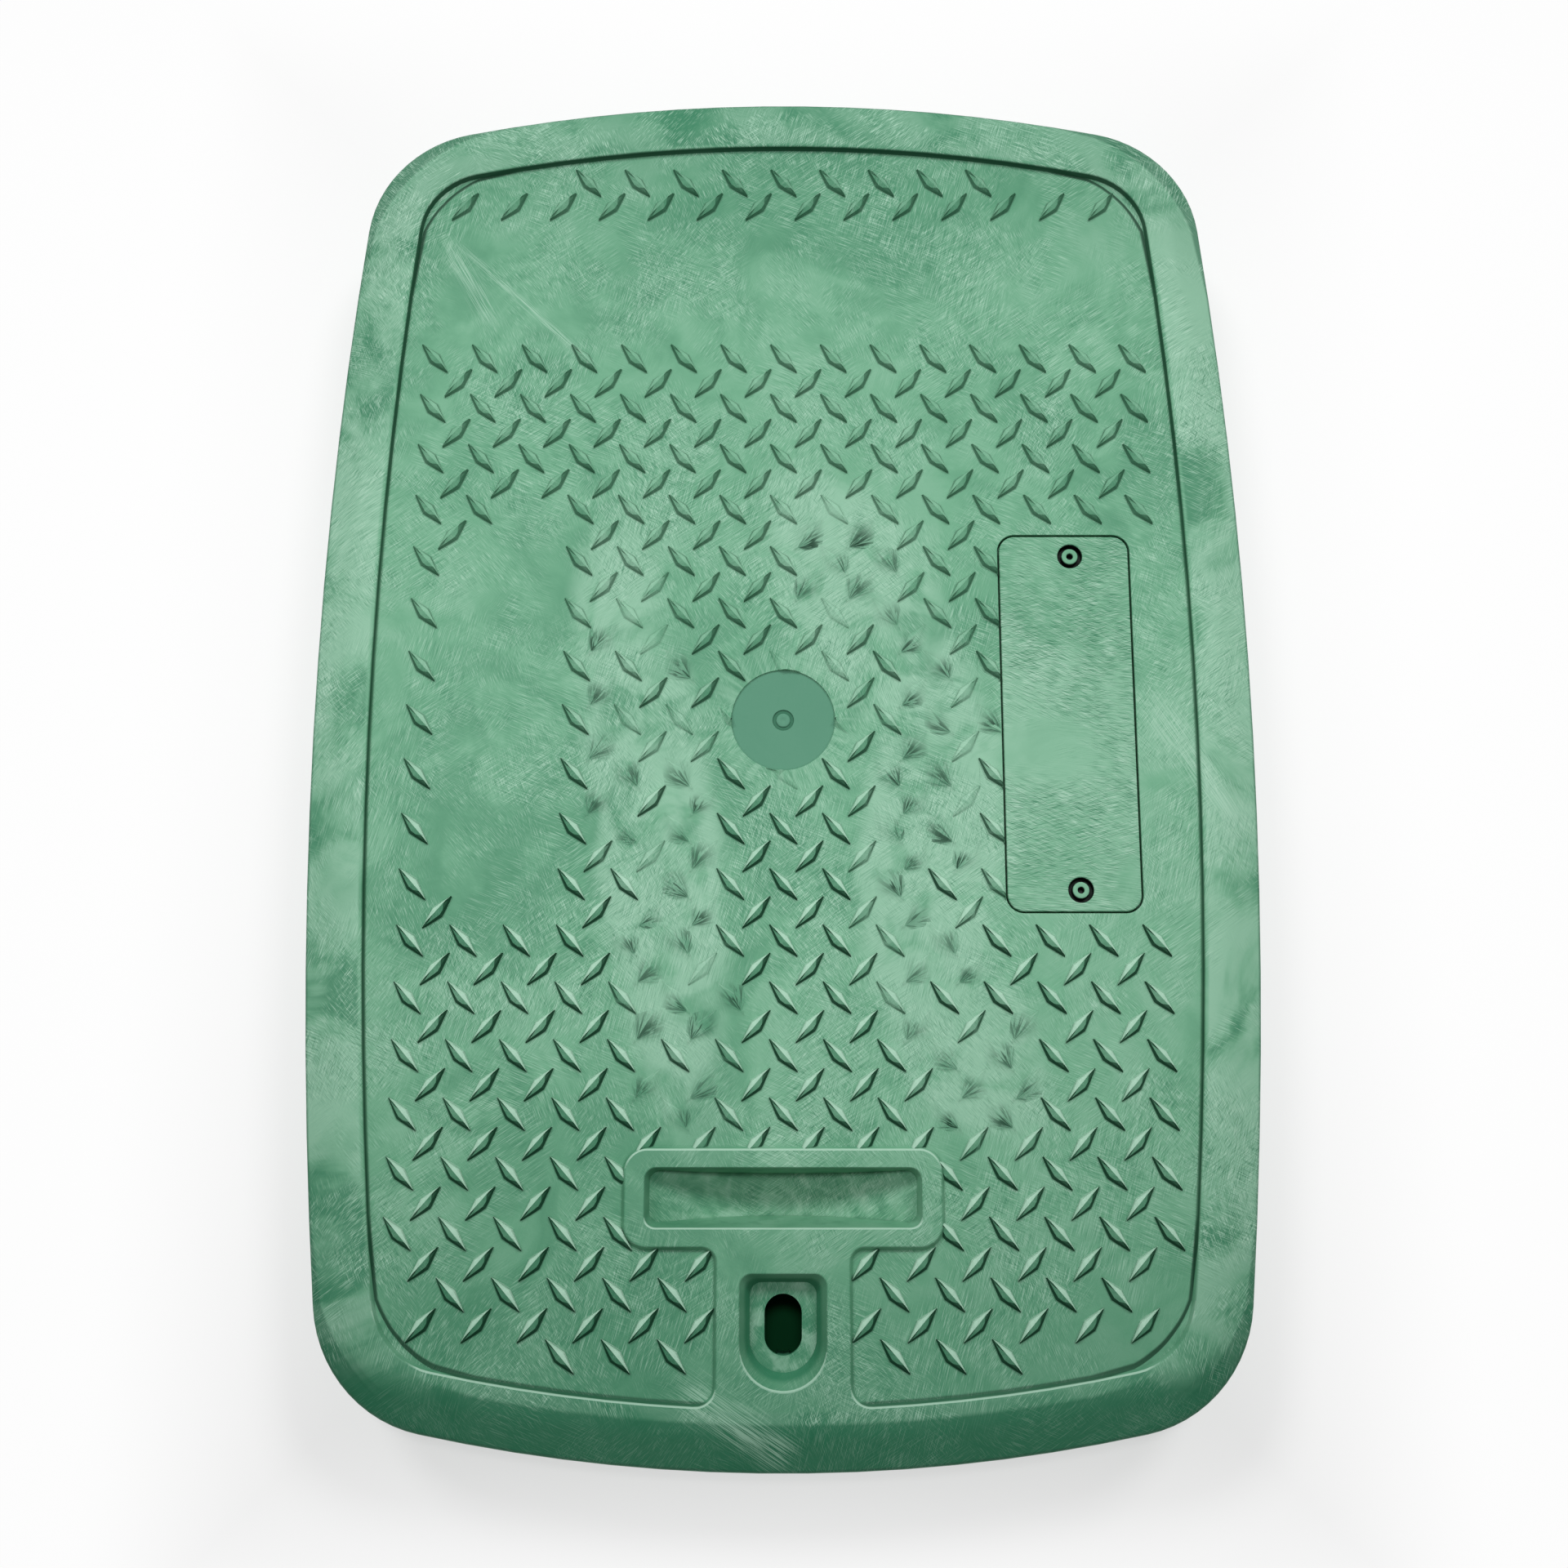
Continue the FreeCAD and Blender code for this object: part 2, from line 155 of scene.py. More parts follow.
class ShaderTree:
    """The node tree of a material or a world, filled by expressions."""

    def __init__(self, owner: bpy.types.ID) -> None:
        """Empties the tree of a material or a world."""
        owner.use_nodes = True
        self.owner = owner
        self.nodes = owner.node_tree.nodes
        self.links = owner.node_tree.links
        self.nodes.clear()

    def node(
        self,
        kind: str,
        settings: dict[str, Any] | None = None,
        sockets: dict[str | int, Any] | None = None,
    ) -> bpy.types.Node:
        """Adds any node.

        Args:
            kind: The node's type.
            settings: Its properties, set before the sockets.
            sockets: Values or links of its inputs, by name or number.

        Returns:
            The node.
        """
        node = self.nodes.new(kind)
        for key, value in (settings or {}).items():
            setattr(node, key, value)
        for key, value in (sockets or {}).items():
            if isinstance(value, Sock):
                self.links.new(value.socket, node.inputs[key])
            elif isinstance(value, tuple) and node.inputs[key].type == "RGBA":
                node.inputs[key].default_value = (*value, 1.0)
            else:
                node.inputs[key].default_value = value
        return node

    def add(
        self,
        kind: str,
        settings: dict[str, Any] | None = None,
        sockets: dict[str | int, Any] | None = None,
        out: str | int = 0,
    ) -> Sock:
        """Adds any node, as above, and hands back its output of that name or number."""
        return Sock(self, self.node(kind, settings, sockets).outputs[out])

    def mix(self, share: Operand, first: Sock | Colour, second: Sock | Colour) -> Sock:
        """Blends two colours.

        Args:
            share: How much of the second colour.
            first: The colour at 0.
            second: The colour at 1.

        Returns:
            The blended colour.
        """
        # Inputs 6 and 7 and output 2 are a Mix node's colours
        settings = {"data_type": "RGBA", "blend_type": "MIX", "clamp_factor": True}
        return self.add("ShaderNodeMix", settings, {0: share, 6: first, 7: second}, 2)

    def attribute(self, name: str, out: str) -> Sock:
        """What the mesh carries under a name, as a value or a vector."""
        return self.add("ShaderNodeAttribute", {"attribute_name": name}, None, out)

    def strokes(self, at: Sock, heading: float, length: float, width: float) -> Sock:
        """Fine strokes in one direction: noise in the plane, stretched along the heading.

        Args:
            at: Where to read the pattern.
            heading: Direction of the strokes, in radians from x.
            length: Length of a stroke.
            width: Width of a stroke.

        Returns:
            The stretched noise, around one half.
        """
        turn = {"Vector": at, "Rotation": (0.0, 0.0, heading), "Scale": (length, width, 1.0)}
        along = self.add("ShaderNodeMapping", {"vector_type": "TEXTURE"}, turn)
        grain = {"Vector": along, "Scale": 1.0, "Detail": 1.0, "Roughness": 0.6}
        return self.add("ShaderNodeTexNoise", {"noise_dimensions": "2D"}, grain)

    def split(self, at: Sock) -> tuple[Sock, ...]:
        """The three parts of a vector."""
        parts = self.node("ShaderNodeSeparateXYZ", None, {0: at})
        return tuple(Sock(self, output) for output in parts.outputs)

    def join(self, x: Operand, y: Operand, z: Operand) -> Sock:
        """A vector from three values."""
        return self.add("ShaderNodeCombineXYZ", None, {0: x, 1: y, 2: z})

    def plastic(
        self, colour: Sock, roughness: Sock, height: Sock, depth: float, gloss: float
    ) -> bpy.types.Material:
        """Closes the tree with a plastic surface.

        Args:
            colour: Base colour.
            roughness: Roughness.
            height: Relief, 0 to 1.
            depth: What a height of 1 stands for, in millimetres.
            gloss: Specular level.

        Returns:
            The material.
        """
        relief = {"Strength": 1.0, "Distance": depth * MM, "Height": height}
        surface = {
            "Base Color": colour,
            "Roughness": roughness,
            "Normal": self.add("ShaderNodeBump", None, relief),
            "Specular IOR Level": gloss,
        }
        self.close(self.add("ShaderNodeBsdfPrincipled", None, surface))
        return self.owner

    def close(self, shader: Sock) -> None:
        """Links a shader to the owner's surface."""
        kind = "World" if isinstance(self.owner, bpy.types.World) else "Material"
        self.node(f"ShaderNodeOutput{kind}", None, {"Surface": shader})


@dataclass(frozen=True)
class Noise:
    """Cloudy noise: the size of its features, its finer octaves and how far it bends itself."""

    size: float
    detail: float = 3.0
    warp: float = 0.0

    def read(self, at: Sock, out: str = "Fac") -> Sock:
        """Adds the noise.

        Args:
            at: The place to read it, in the units of the size.
            out: "Fac" for a value, "Color" for three.

        Returns:
            The noise, around one half.
        """
        look = {"Vector": at, "Scale": 1 / self.size, "Detail": self.detail, "Distortion": self.warp}
        return at.tree.add("ShaderNodeTexNoise", None, look, out)


class Coat:
    """A colour that is built up in layers."""

    def __init__(self, base: Sock) -> None:
        """Starts from a base colour."""
        self.colour = base

    def lay(self, share: Operand, colour: Sock | Colour) -> None:
        """Covers a share of what lies below."""
        self.colour = self.colour.tree.mix(share, self.colour, colour)


@dataclass(frozen=True)
class Ground:
    """The place that a finish reads, whole and in its parts, in millimetres."""

    tree: ShaderTree
    at: Sock
    x: Sock
    y: Sock
    z: Sock

    @staticmethod
    def of(tree: ShaderTree) -> "Ground":
        """Reads the piece's own coordinates."""
        metres = tree.add("ShaderNodeTexCoord", None, None, "Object")
        at = tree.add("ShaderNodeVectorMath", {"operation": "SCALE"}, {0: metres, "Scale": 1 / MM})
        return Ground(tree, at, *tree.split(at))


# Wear and the gate disc, which shapes and finishes share


@dataclass(frozen=True)
class Oval:
    """A slanting oval in plan, in millimetres, with its heading in degrees from x."""

    x: float
    y: float
    half_length: float
    half_width: float
    heading: float

    def depth(self, x: Any, y: Any) -> Any:
        """One less the squared shares of the two half sizes: 1 in the middle, 0 on the edge.

        Args:
            x: Sockets or arrays in millimetres.
            y: The same.

        Returns:
            The depth, as sockets or arrays.
        """
        cosine = math.cos(math.radians(self.heading))
        sine = math.sin(math.radians(self.heading))
        along = ((x - self.x) * cosine + (y - self.y) * sine) / self.half_length
        across = ((y - self.y) * cosine - (x - self.x) * sine) / self.half_width
        return 1 - along * along - across * across


@dataclass(frozen=True)
class GateDisc:
    """The round disc on the middle line where the plastic came in: its place along y and its radius."""

    y: float = 4.0
    radius: float = 16.2


TRODDEN = (
    Oval(-40.0, -28.0, 94.0, 19.0, -81.6),
    Oval(30.0, 36.0, 52.0, 21.0, -64.1),
    Oval(45.0, -36.0, 50.0, 20.0, -95.4),
    Oval(54.0, -92.0, 38.0, 18.0, -64.4),
)
GATE = GateDisc()


# Layers of the cover's finish; a span runs from where a share is 0 to where it is 1


@dataclass(frozen=True)
class Palette:
    """The greens of weathered polyethylene, the gate disc's own two and the near-black painted as shade in
    the pin wells.
    """

    shade: Colour = (0.014, 0.115, 0.058)
    deep: Colour = (0.028, 0.190, 0.096)
    body: Colour = (0.162, 0.410, 0.252)
    pale: Colour = (0.290, 0.540, 0.382)
    # chalk is also the painted highlight on edges that face the far end
    chalk_and_highlight: Colour = (0.42, 0.66, 0.51)
    # dirt is also the painted shade in corners, on near-facing flanks and round the marks' feet
    dirt_and_shade: Colour = (0.003, 0.042, 0.018)
    disc_dark: Colour = (0.092, 0.272, 0.175)
    disc_light: Colour = (0.112, 0.305, 0.198)
    # painted shade: near-black for the plate's pin wells and the pins' shanks
    well_shade: Colour = (0.006, 0.014, 0.010)
    pin_shade: Colour = (0.008, 0.018, 0.013)


GREEN = Palette()


@dataclass(frozen=True)
class CoverGround(Ground):
    """What the cover's layers read: place, tilt, state of the tread with its painted shadow, and the share of
    each zone.
    """

    inset: Sock
    facing: Sock
    up: Sock
    sound: Sock
    painted_shadow: Sock
    torn: Sock
    blotch: Sock
    rim: Sock
    upper: Sock
    slope: Sock
    hollow: Sock
    disc: Sock


@dataclass(frozen=True)
class CoverZones:
    """Where each zone of the cover begins and is whole: places in millimetres, tilts as parts of a normal."""

    blotches: Noise = Noise(42.0, 5, 1.4)
    rim_inset: Span = (17.6, 16.6)
    upper_y: Span = (-60.0, 60.0)
    slope_inset: Span = (14.6, 13.0)
    slope_lean: Span = (-0.1, -0.36)
    slope_end_y: Span = (-188.0, -200.0)
    slope_y: Span = (-100.0, -180.0)
    slope_up: Span = (0.4, 0.7)
    hollow_z: Span = (33.6, 31.0)
    hollow_x: Span = (47.0, 45.0)
    hollow_y: Span = (-124.0, -128.0)
    hollow_inset: Span = (19.0, 21.0)
    disc_edge: Span = (0.1, -0.3)
    disc_z: Span = (32.4, 32.8)

    def read(self, tree: ShaderTree) -> CoverGround:
        """Works out what the layers share.

        The slope is the near bevel, the hollows are the pull slot and the bolt recess.

        Args:
            tree: The material's tree.

        Returns:
            The sockets to read.
        """
        ground = Ground.of(tree)
        x, y, z = ground.x, ground.y, ground.z
        inset = tree.attribute("inset", "Fac")
        sound, painted_shadow, torn = tree.split(tree.attribute("tread", "Vector"))
        _, facing, up = tree.split(tree.add("ShaderNodeNewGeometry", None, None, "True Normal"))
        _, lean, _ = tree.split(tree.add("ShaderNodeNewGeometry", None, None, "Normal"))
        leaning = lean.step(*self.slope_lean).most(y.step(*self.slope_end_y))
        on_bevel = inset.step(*self.slope_inset) * up.step(*self.slope_up)
        sunk = z.step(*self.hollow_z) * inset.step(*self.hollow_inset)
        past_disc = x.reach(y - GATE.y) - GATE.radius
        return CoverGround(
            tree=tree,
            at=ground.at,
            x=x,
            y=y,
            z=z,
            inset=inset,
            facing=facing,
            up=up,
            sound=sound,
            painted_shadow=painted_shadow,
            torn=torn,
            blotch=self.blotches.read(ground.at),
            rim=inset.step(*self.rim_inset),
            upper=y.step(*self.upper_y),
            slope=on_bevel * leaning * y.step(*self.slope_y),
            hollow=sunk * abs(x).step(*self.hollow_x) * y.step(*self.hollow_y),
            disc=past_disc.step(*self.disc_edge) * z.step(*self.disc_z),
        )


class Layer(Protocol):
    """One layer of the cover's finish."""

    def lay(self, coat: Coat, ground: CoverGround) -> None:
        """Covers shares of what lies below with other greens."""


@dataclass(frozen=True)
class RimBlotches:
    """Deep and pale blotches in the rim."""

    deep: Span = (0.48, 0.34)
    deep_share: float = 0.6
    pale: Span = (0.38, 0.6)
    pale_share: float = 0.85

    def lay(self, coat: Coat, ground: CoverGround) -> None:
        """Lays the deep blotches, then the pale ones."""
        coat.lay(ground.rim * ground.blotch.step(*self.deep) * self.deep_share, GREEN.deep)
        coat.lay(ground.rim * ground.blotch.step(*self.pale) * self.pale_share, GREEN.pale)


@dataclass(frozen=True)
class EndShade:
    """Painted shade: deeper green towards both ends, on the near slope and along the outer edge; and a plain
    outer wall.
    """

    near_y: Span = (-115.0, -215.0)
    near_share: float = 0.55
    rim_spared: float = 0.2
    far_y: Span = (140.0, 215.0)
    far_share: float = 0.45
    slope_share: float = 0.8
    edge_inset: Span = (1.3, 0.1)
    edge_z: Span = (30.4, 31.2)
    edge_share: float = 0.6
    near_rim_y: Span = (-186.0, -202.0)
    near_rim_share: float = 0.5
    wall_up: Span = (0.5, 0.2)
    wall_share: float = 0.65

    def lay(self, coat: Coat, ground: CoverGround) -> None:
        """Lays the painted shade from the ends to the outer edge, then the plain outer wall."""
        # painted shade: deeper green towards both ends, on the near bevel, along the outer edge and on the
        # near rim
        near = ground.y.step(*self.near_y) * (self.near_share - ground.rim * self.rim_spared)
        coat.lay(near + ground.y.step(*self.far_y) * self.far_share, GREEN.deep)
        coat.lay(ground.slope * self.slope_share, GREEN.shade)
        edge = ground.inset.step(*self.edge_inset) * ground.z.step(*self.edge_z)
        coat.lay(edge * self.edge_share, GREEN.shade)
        coat.lay(ground.rim * ground.y.step(*self.near_rim_y) * self.near_rim_share, GREEN.deep)
        coat.lay(ground.up.step(*self.wall_up) * ground.rim * self.wall_share, GREEN.body)


@dataclass(frozen=True)
class TroddenGround:
    """Pale rubbed ground in and round the trodden bands, with a rough edge and bare specks."""

    bands: tuple[Oval, ...] = TRODDEN
    rough: Noise = Noise(45.0, 3, 0.8)
    rough_gain: float = 1.6
    rough_drop: float = 0.3
    depth: Span = (0.0, 0.8)
    specks: Noise = Noise(16.0, 3, 1.0)
    speck: Span = (0.3, 0.56)
    share: float = 0.85

    def lay(self, coat: Coat, ground: CoverGround) -> None:
        """Lays the rubbed ground."""
        depth, *others = (band.depth(ground.x, ground.y) for band in self.bands)
        rough = self.rough.read(ground.at) * self.rough_gain - self.rough_drop
        rubbed_and_highlight = (depth.most(*others) + rough).step(*self.depth)
        coat.lay(rubbed_and_highlight * self.specks.read(ground.at).step(*self.speck) * self.share, GREEN.pale)


@dataclass(frozen=True)
class Scuffs:
    """Three families of fine strokes, each with one heading and with patches of its own."""

    headings: tuple[float, float, float]
    patches: Noise
    length: float
    width: float
    shown: Span = (0.48, 0.64)
    pale: Span = (0.57, 0.7)
    dark: Span = (0.43, 0.3)

    def strokes(self, ground: Ground) -> tuple[Sock, Sock]:
        """Draws the strokes; one coloured noise says in red, green and blue where each family shows.

        Args:
            ground: Where to draw them.

        Returns:
            The shares of the pale and of the dark strokes.
        """
        tree = ground.tree
        patches = tree.node("ShaderNodeSeparateColor", None, {0: self.patches.read(ground.at, "Color")})
        pale: Operand = 0.0
        dark: Operand = 0.0
        for heading, patch in zip(self.headings, patches.outputs):
            lines = tree.strokes(ground.at, heading, self.length, self.width)
            here = Sock(tree, patch).step(*self.shown)
            pale = lines.step(*self.pale) * here + pale
            dark = lines.step(*self.dark) * here + dark
        return pale, dark


@dataclass(frozen=True)
class Gouge:
    """A long frayed scrape from one point to another, in plan."""

    start: tuple[float, float]
    end: tuple[float, float]
    width: float
    head: Span = (0.0, 0.3)
    tail: Span = (1.0, 0.8)
    stroke_length: float = 14.0
    stroke_width: float = 0.25
    swell: float = 0.14
    shown: Span = (0.56, 0.7)

    def share(self, ground: Ground) -> Sock:
        """Strokes along the scrape that thin out to its ends and sides.

        Args:
            ground: Where to draw it.

        Returns:
            The scrape's share.
        """
        run = (self.end[0] - self.start[0], self.end[1] - self.start[1])
        length = math.hypot(*run)
        cosine, sine = run[0] / length, run[1] / length
        x, y = ground.x - self.start[0], ground.y - self.start[1]
        along = (x * cosine + y * sine) / length
        across = y * cosine - x * sine
        body = along.step(*self.head) * along.step(*self.tail) * abs(across).step(self.width, 0.0)
        heading = math.atan2(sine, cosine)
        strokes = ground.tree.strokes(ground.at, heading, self.stroke_length, self.stroke_width)
        return (strokes + body * self.swell).step(*self.shown) * body


@dataclass(frozen=True)
class Scratches:
    """Crossed scratches and long scrapes on level ground, fainter on the tread and towards the near end."""

    fine: Scuffs = Scuffs((0.95, 1.95, 2.3), Noise(26.0, 2, 0.4), 4.0, 0.22)
    coarse: Scuffs = Scuffs((0.6, 1.3, 2.75), Noise(40.0, 2, 0.4), 7.0, 0.26)
    level_up: Span = (0.35, 0.75)
    mark_spared: float = 0.6
    pale_share: float = 0.5
    rim_more: float = 0.14
    near_y: Span = (-60.0, -170.0)
    near_less: float = 0.1
    slope_less: float = 0.4
    dark_share: float = 0.4
    gouges: tuple[Gouge, ...] = (
        Gouge((-113.0, 172.0), (-56.0, 118.0), 2.6),
        Gouge((-115.0, 174.0), (-92.0, 134.0), 6.0),
        Gouge((108.0, 22.0), (146.0, -38.0), 11.0),
        Gouge((-36.0, -191.0), (6.0, -219.0), 11.0),
    )
    gouge_share: float = 0.6

    def lay(self, coat: Coat, ground: CoverGround) -> Sock:
        """Lays the scratches, then the scrapes.

        Args:
            coat: The colour so far.
            ground: Where they lie.

        Returns:
            The share of the pale scratches.
        """
        pale_fine, dark_fine = self.fine.strokes(ground)
        pale_coarse, dark_coarse = self.coarse.strokes(ground)
        level = ground.up.step(*self.level_up)
        open_ground = (1 - ground.sound * self.mark_spared) * level
        pale = (pale_fine + pale_coarse) * open_ground
        faded = ground.y.step(*self.near_y) * self.near_less + ground.slope * self.slope_less
        coat.lay(pale * (self.pale_share + ground.rim * self.rim_more - faded), GREEN.chalk_and_highlight)
        coat.lay((dark_fine + dark_coarse) * open_ground * self.dark_share, GREEN.deep)
        for gouge in self.gouges:
            coat.lay(gouge.share(ground) * level * self.gouge_share, GREEN.chalk_and_highlight)
        return pale


@dataclass(frozen=True)
class HollowShadeAndStains:
    """Painted shade in the bolt recess, deeper on its slopes, and dark and bright stains in the pull slot and
    the recess.
    """

    recess_y: Span = (-157.0, -161.0)
    recess_share: float = 0.35
    slope_up: Span = (0.97, 0.9)
    slope_share: float = 0.45
    stains: Noise = Noise(6.0, 4, 0.5)
    dark: Span = (0.52, 0.38)
    dark_share: float = 0.3
    bright: Span = (0.48, 0.68)
    floor_up: Span = (0.9, 0.97)
    bright_share: float = 0.35

    def lay(self, coat: Coat, ground: CoverGround) -> None:
        """Lays the recess's painted shade, then dark and bright stains."""
        stain = self.stains.read(ground.at)
        steep = self.recess_share + ground.up.step(*self.slope_up) * self.slope_share
        # painted shade in the bolt recess, deeper on its slopes
        coat.lay(ground.hollow * ground.y.step(*self.recess_y) * steep, GREEN.deep)
        coat.lay(ground.hollow * stain.step(*self.dark) * self.dark_share, GREEN.deep)
        bright = stain.step(*self.bright) * ground.up.step(*self.floor_up)
        coat.lay(ground.hollow * bright * self.bright_share, GREEN.chalk_and_highlight)


@dataclass(frozen=True)
class GateMarks:
    """The smooth gate disc with painted shade in its well, and short radial flow marks round it."""

    rays: Noise = Noise(1.0, 2)
    rays_per_radian: float = 9.0
    ray_length: float = 14.0
    ray_level: Span = (0.42, 0.66)
    halo_radii: Span = (1.75, 1.0)
    halo_share: float = 0.5
    well_z: Span = (33.35, 33.15)
    well_share: float = 0.7

    def lay(self, coat: Coat, ground: CoverGround) -> None:
        """Lays the flow marks, which are noise read at (angle, distance), then the disc and the painted shade
        in its well.
        """
        y = ground.y - GATE.y
        reach = ground.x.reach(y)
        spot = ground.tree.join(ground.x.angle(y) * self.rays_per_radian, reach / self.ray_length, 0.0)
        halo = self.rays.read(spot).step(*self.ray_level) * (reach / GATE.radius).step(*self.halo_radii)
        coat.lay(halo * self.halo_share, GREEN.pale)
        coat.lay(ground.disc, ground.tree.mix(ground.blotch, GREEN.disc_dark, GREEN.disc_light))
        # painted shade in the gate well
        coat.lay(ground.disc * ground.z.step(*self.well_z) * self.well_share, GREEN.shade)


@dataclass(frozen=True)
class EdgeHighlightAndShade:
    """Flanks of tread marks and lips: a painted highlight where they face the far end, painted shade on mark
    flanks that face the near end.
    """

    lip_z: Span = (35.45, 35.65)
    lip_up: Span = (0.985, 0.95)
    lip_inset: Span = (15.0, 16.0)
    lip_share: float = 0.85
    mark_share: float = 0.95
    upper_spared: float = 0.8
    pale_facing: Span = (0.05, 0.22)
    deep_facing: Span = (-0.05, -0.22)
    deep_share: float = 0.22

    def lay(self, coat: Coat, ground: CoverGround) -> None:
        """Lays the painted highlights, then the painted shade."""
        lip = ground.z.step(*self.lip_z) * ground.up.step(*self.lip_up) * ground.inset.step(*self.lip_inset)
        on_mark = ground.sound * (self.mark_share - ground.upper * self.upper_spared)
        rubbed_and_highlight = on_mark + (1 - ground.sound) * lip * self.lip_share
        # painted highlight on mark flanks and lips that face the far end
        coat.lay(rubbed_and_highlight * ground.facing.step(*self.pale_facing), GREEN.chalk_and_highlight)
        shaded_flank = ground.sound * ground.facing.step(*self.deep_facing)
        # painted shade on mark flanks that face the near end, on the lower half
        coat.lay(shaded_flank * (1 - ground.upper) * self.deep_share, GREEN.deep)


@dataclass(frozen=True)
class Tufts:
    """Dark tufts where a mark has been torn away: fine rays that fan out from a root on its long axis."""

    root: float = -5.4
    size_least: float = 0.75
    size_range: float = 0.5
    size_draw: float = 7.3
    force_least: float = 0.55
    force_draw: float = 13.7
    slant: float = 1.2
    rays: Noise = Noise(1.0, 2, 0.9)
    rays_per_radian: float = 6.0
    ray_length: float = 7.0
    rays_apart: float = 90.0
    ray_level: Span = (0.44, 0.55)
    fan_angle: Span = (1.0, 0.2)
    fan_start: Span = (0.1, 0.8)
    fan_end: Span = (9.5, 3.5)
    stain_angle: Span = (1.3, 0.2)
    stain_end: Span = (9.5, 2.0)
    stain_share: float = 0.25

    def lay(self, coat: Coat, ground: CoverGround) -> None:
        """Lays a soft stain and the rays.

        The mark's own coordinates are read from an attribute. Noise at (angle, distance, chance) about the
        root gives the rays, which thin out to the sides and with the distance. Each mark's own chance sets
        the fan's size, force and slant.

        Args:
            coat: The colour so far.
            ground: Where they lie.
        """
        along, across, chance = ground.tree.split(ground.tree.attribute("tuft", "Vector"))
        size = self.size_least + (chance * self.size_draw).fract() * self.size_range
        force = self.force_least + (chance * self.force_draw).fract() * (1 - self.force_least)
        along = along - self.root
        reach = along.reach(across) / size
        angle = along.angle(across) + (chance - 0.5) * self.slant
        spot = ground.tree.join(
            angle * self.rays_per_radian, reach / self.ray_length, chance * self.rays_apart
        )
        stain = abs(angle).step(*self.stain_angle) * reach.step(*self.stain_end)
        coat.lay(ground.torn * stain * (force + 1) * self.stain_share, GREEN.deep)
        fan = abs(angle).step(*self.fan_angle) * reach.step(*self.fan_end) * reach.step(*self.fan_start)
        coat.lay(ground.torn * self.rays.read(spot).step(*self.ray_level) * fan * force, GREEN.dirt_and_shade)


@dataclass(frozen=True)
class PaintedShade:
    """Painted shade in inner corners, round the tread marks, along the rim's foot and on the far half of its
    lip.
    """

    crevice_reach: float = 0.7
    crevice_open: Span = (0.9, 0.45)
    crevice_share: float = 0.8
    hollow_spared: float = 0.4
    flank_up: Span = (0.85, 0.7)
    flank_facing: Span = (0.05, -0.25)
    upper_flank: float = 0.1
    flank_share: float = 0.92
    upper_spared: float = 0.34
    painted_shadow_share: float = 0.6
    foot_outer: Span = (17.6, 17.9)
    foot_inner: Span = (19.2, 18.4)
    foot_z: Span = (36.0, 35.2)
    foot_share: float = 0.9
    wide_y: Span = (-170.0, -195.0)
    wide_more: float = 0.7
    faint_y: Span = (-200.0, -185.0)
    faint_least: float = 0.65
    lip_outer: Span = (13.8, 15.0)
    lip_inner: Span = (25.0, 22.0)
    lip_y: Span = (0.0, 100.0)
    lip_top: Span = (35.85, 35.5)
    lip_bottom: Span = (34.05, 34.25)
    lip_share: float = 0.85

    def lay(self, coat: Coat, ground: CoverGround) -> None:
        """Lays the strongest of all these painted shades."""
        # painted shade: inner corners, near-facing flanks, cast shadow round the marks, the rim's foot and
        # its far lip
        crevice = self.crevice(ground.tree) * (self.crevice_share - ground.hollow * self.hollow_spared)
        dirt_and_shade = crevice.most(
            self.flank(ground) * (self.flank_share - ground.upper * self.upper_spared),
            ground.painted_shadow * self.painted_shadow_share,
            self.foot(ground) * self.foot_share,
            self.lip(ground) * self.lip_share,
        )
        coat.lay(dirt_and_shade, GREEN.dirt_and_shade)

    def crevice(self, tree: ShaderTree) -> Sock:
        """Painted shade in inner corners: the share of the surroundings that nearby walls hide."""
        reach = {"Distance": self.crevice_reach * MM}
        seen = tree.add("ShaderNodeAmbientOcclusion", {"samples": 1, "only_local": False}, reach, "AO")
        return seen.step(*self.crevice_open)

    def flank(self, ground: CoverGround) -> Sock:
        """Painted shade on the steep flanks of the marks that face the near end, and a little of all on the
        upper half.
        """
        shaded_flank = ground.facing.step(*self.flank_facing).most(ground.upper * self.upper_flank)
        return ground.sound * ground.up.step(*self.flank_up) * shaded_flank

    def foot(self, ground: CoverGround) -> Sock:
        """Painted shade in a line along the rim's foot, wider and fainter at the near end."""
        inner = ground.inset - ground.y.step(*self.wide_y) * self.wide_more
        line = ground.inset.step(*self.foot_outer) * inner.step(*self.foot_inner)
        faint = self.faint_least + ground.y.step(*self.faint_y) * (1 - self.faint_least)
        return line * faint * ground.z.step(*self.foot_z)

    def lip(self, ground: CoverGround) -> Sock:
        """Painted shade on the wall from the rim down to the field, on the far half."""
        across = ground.inset.step(*self.lip_outer) * ground.inset.step(*self.lip_inner)
        wall = ground.z.step(*self.lip_top) * ground.z.step(*self.lip_bottom)
        return across * wall * ground.y.step(*self.lip_y)


# Finishes


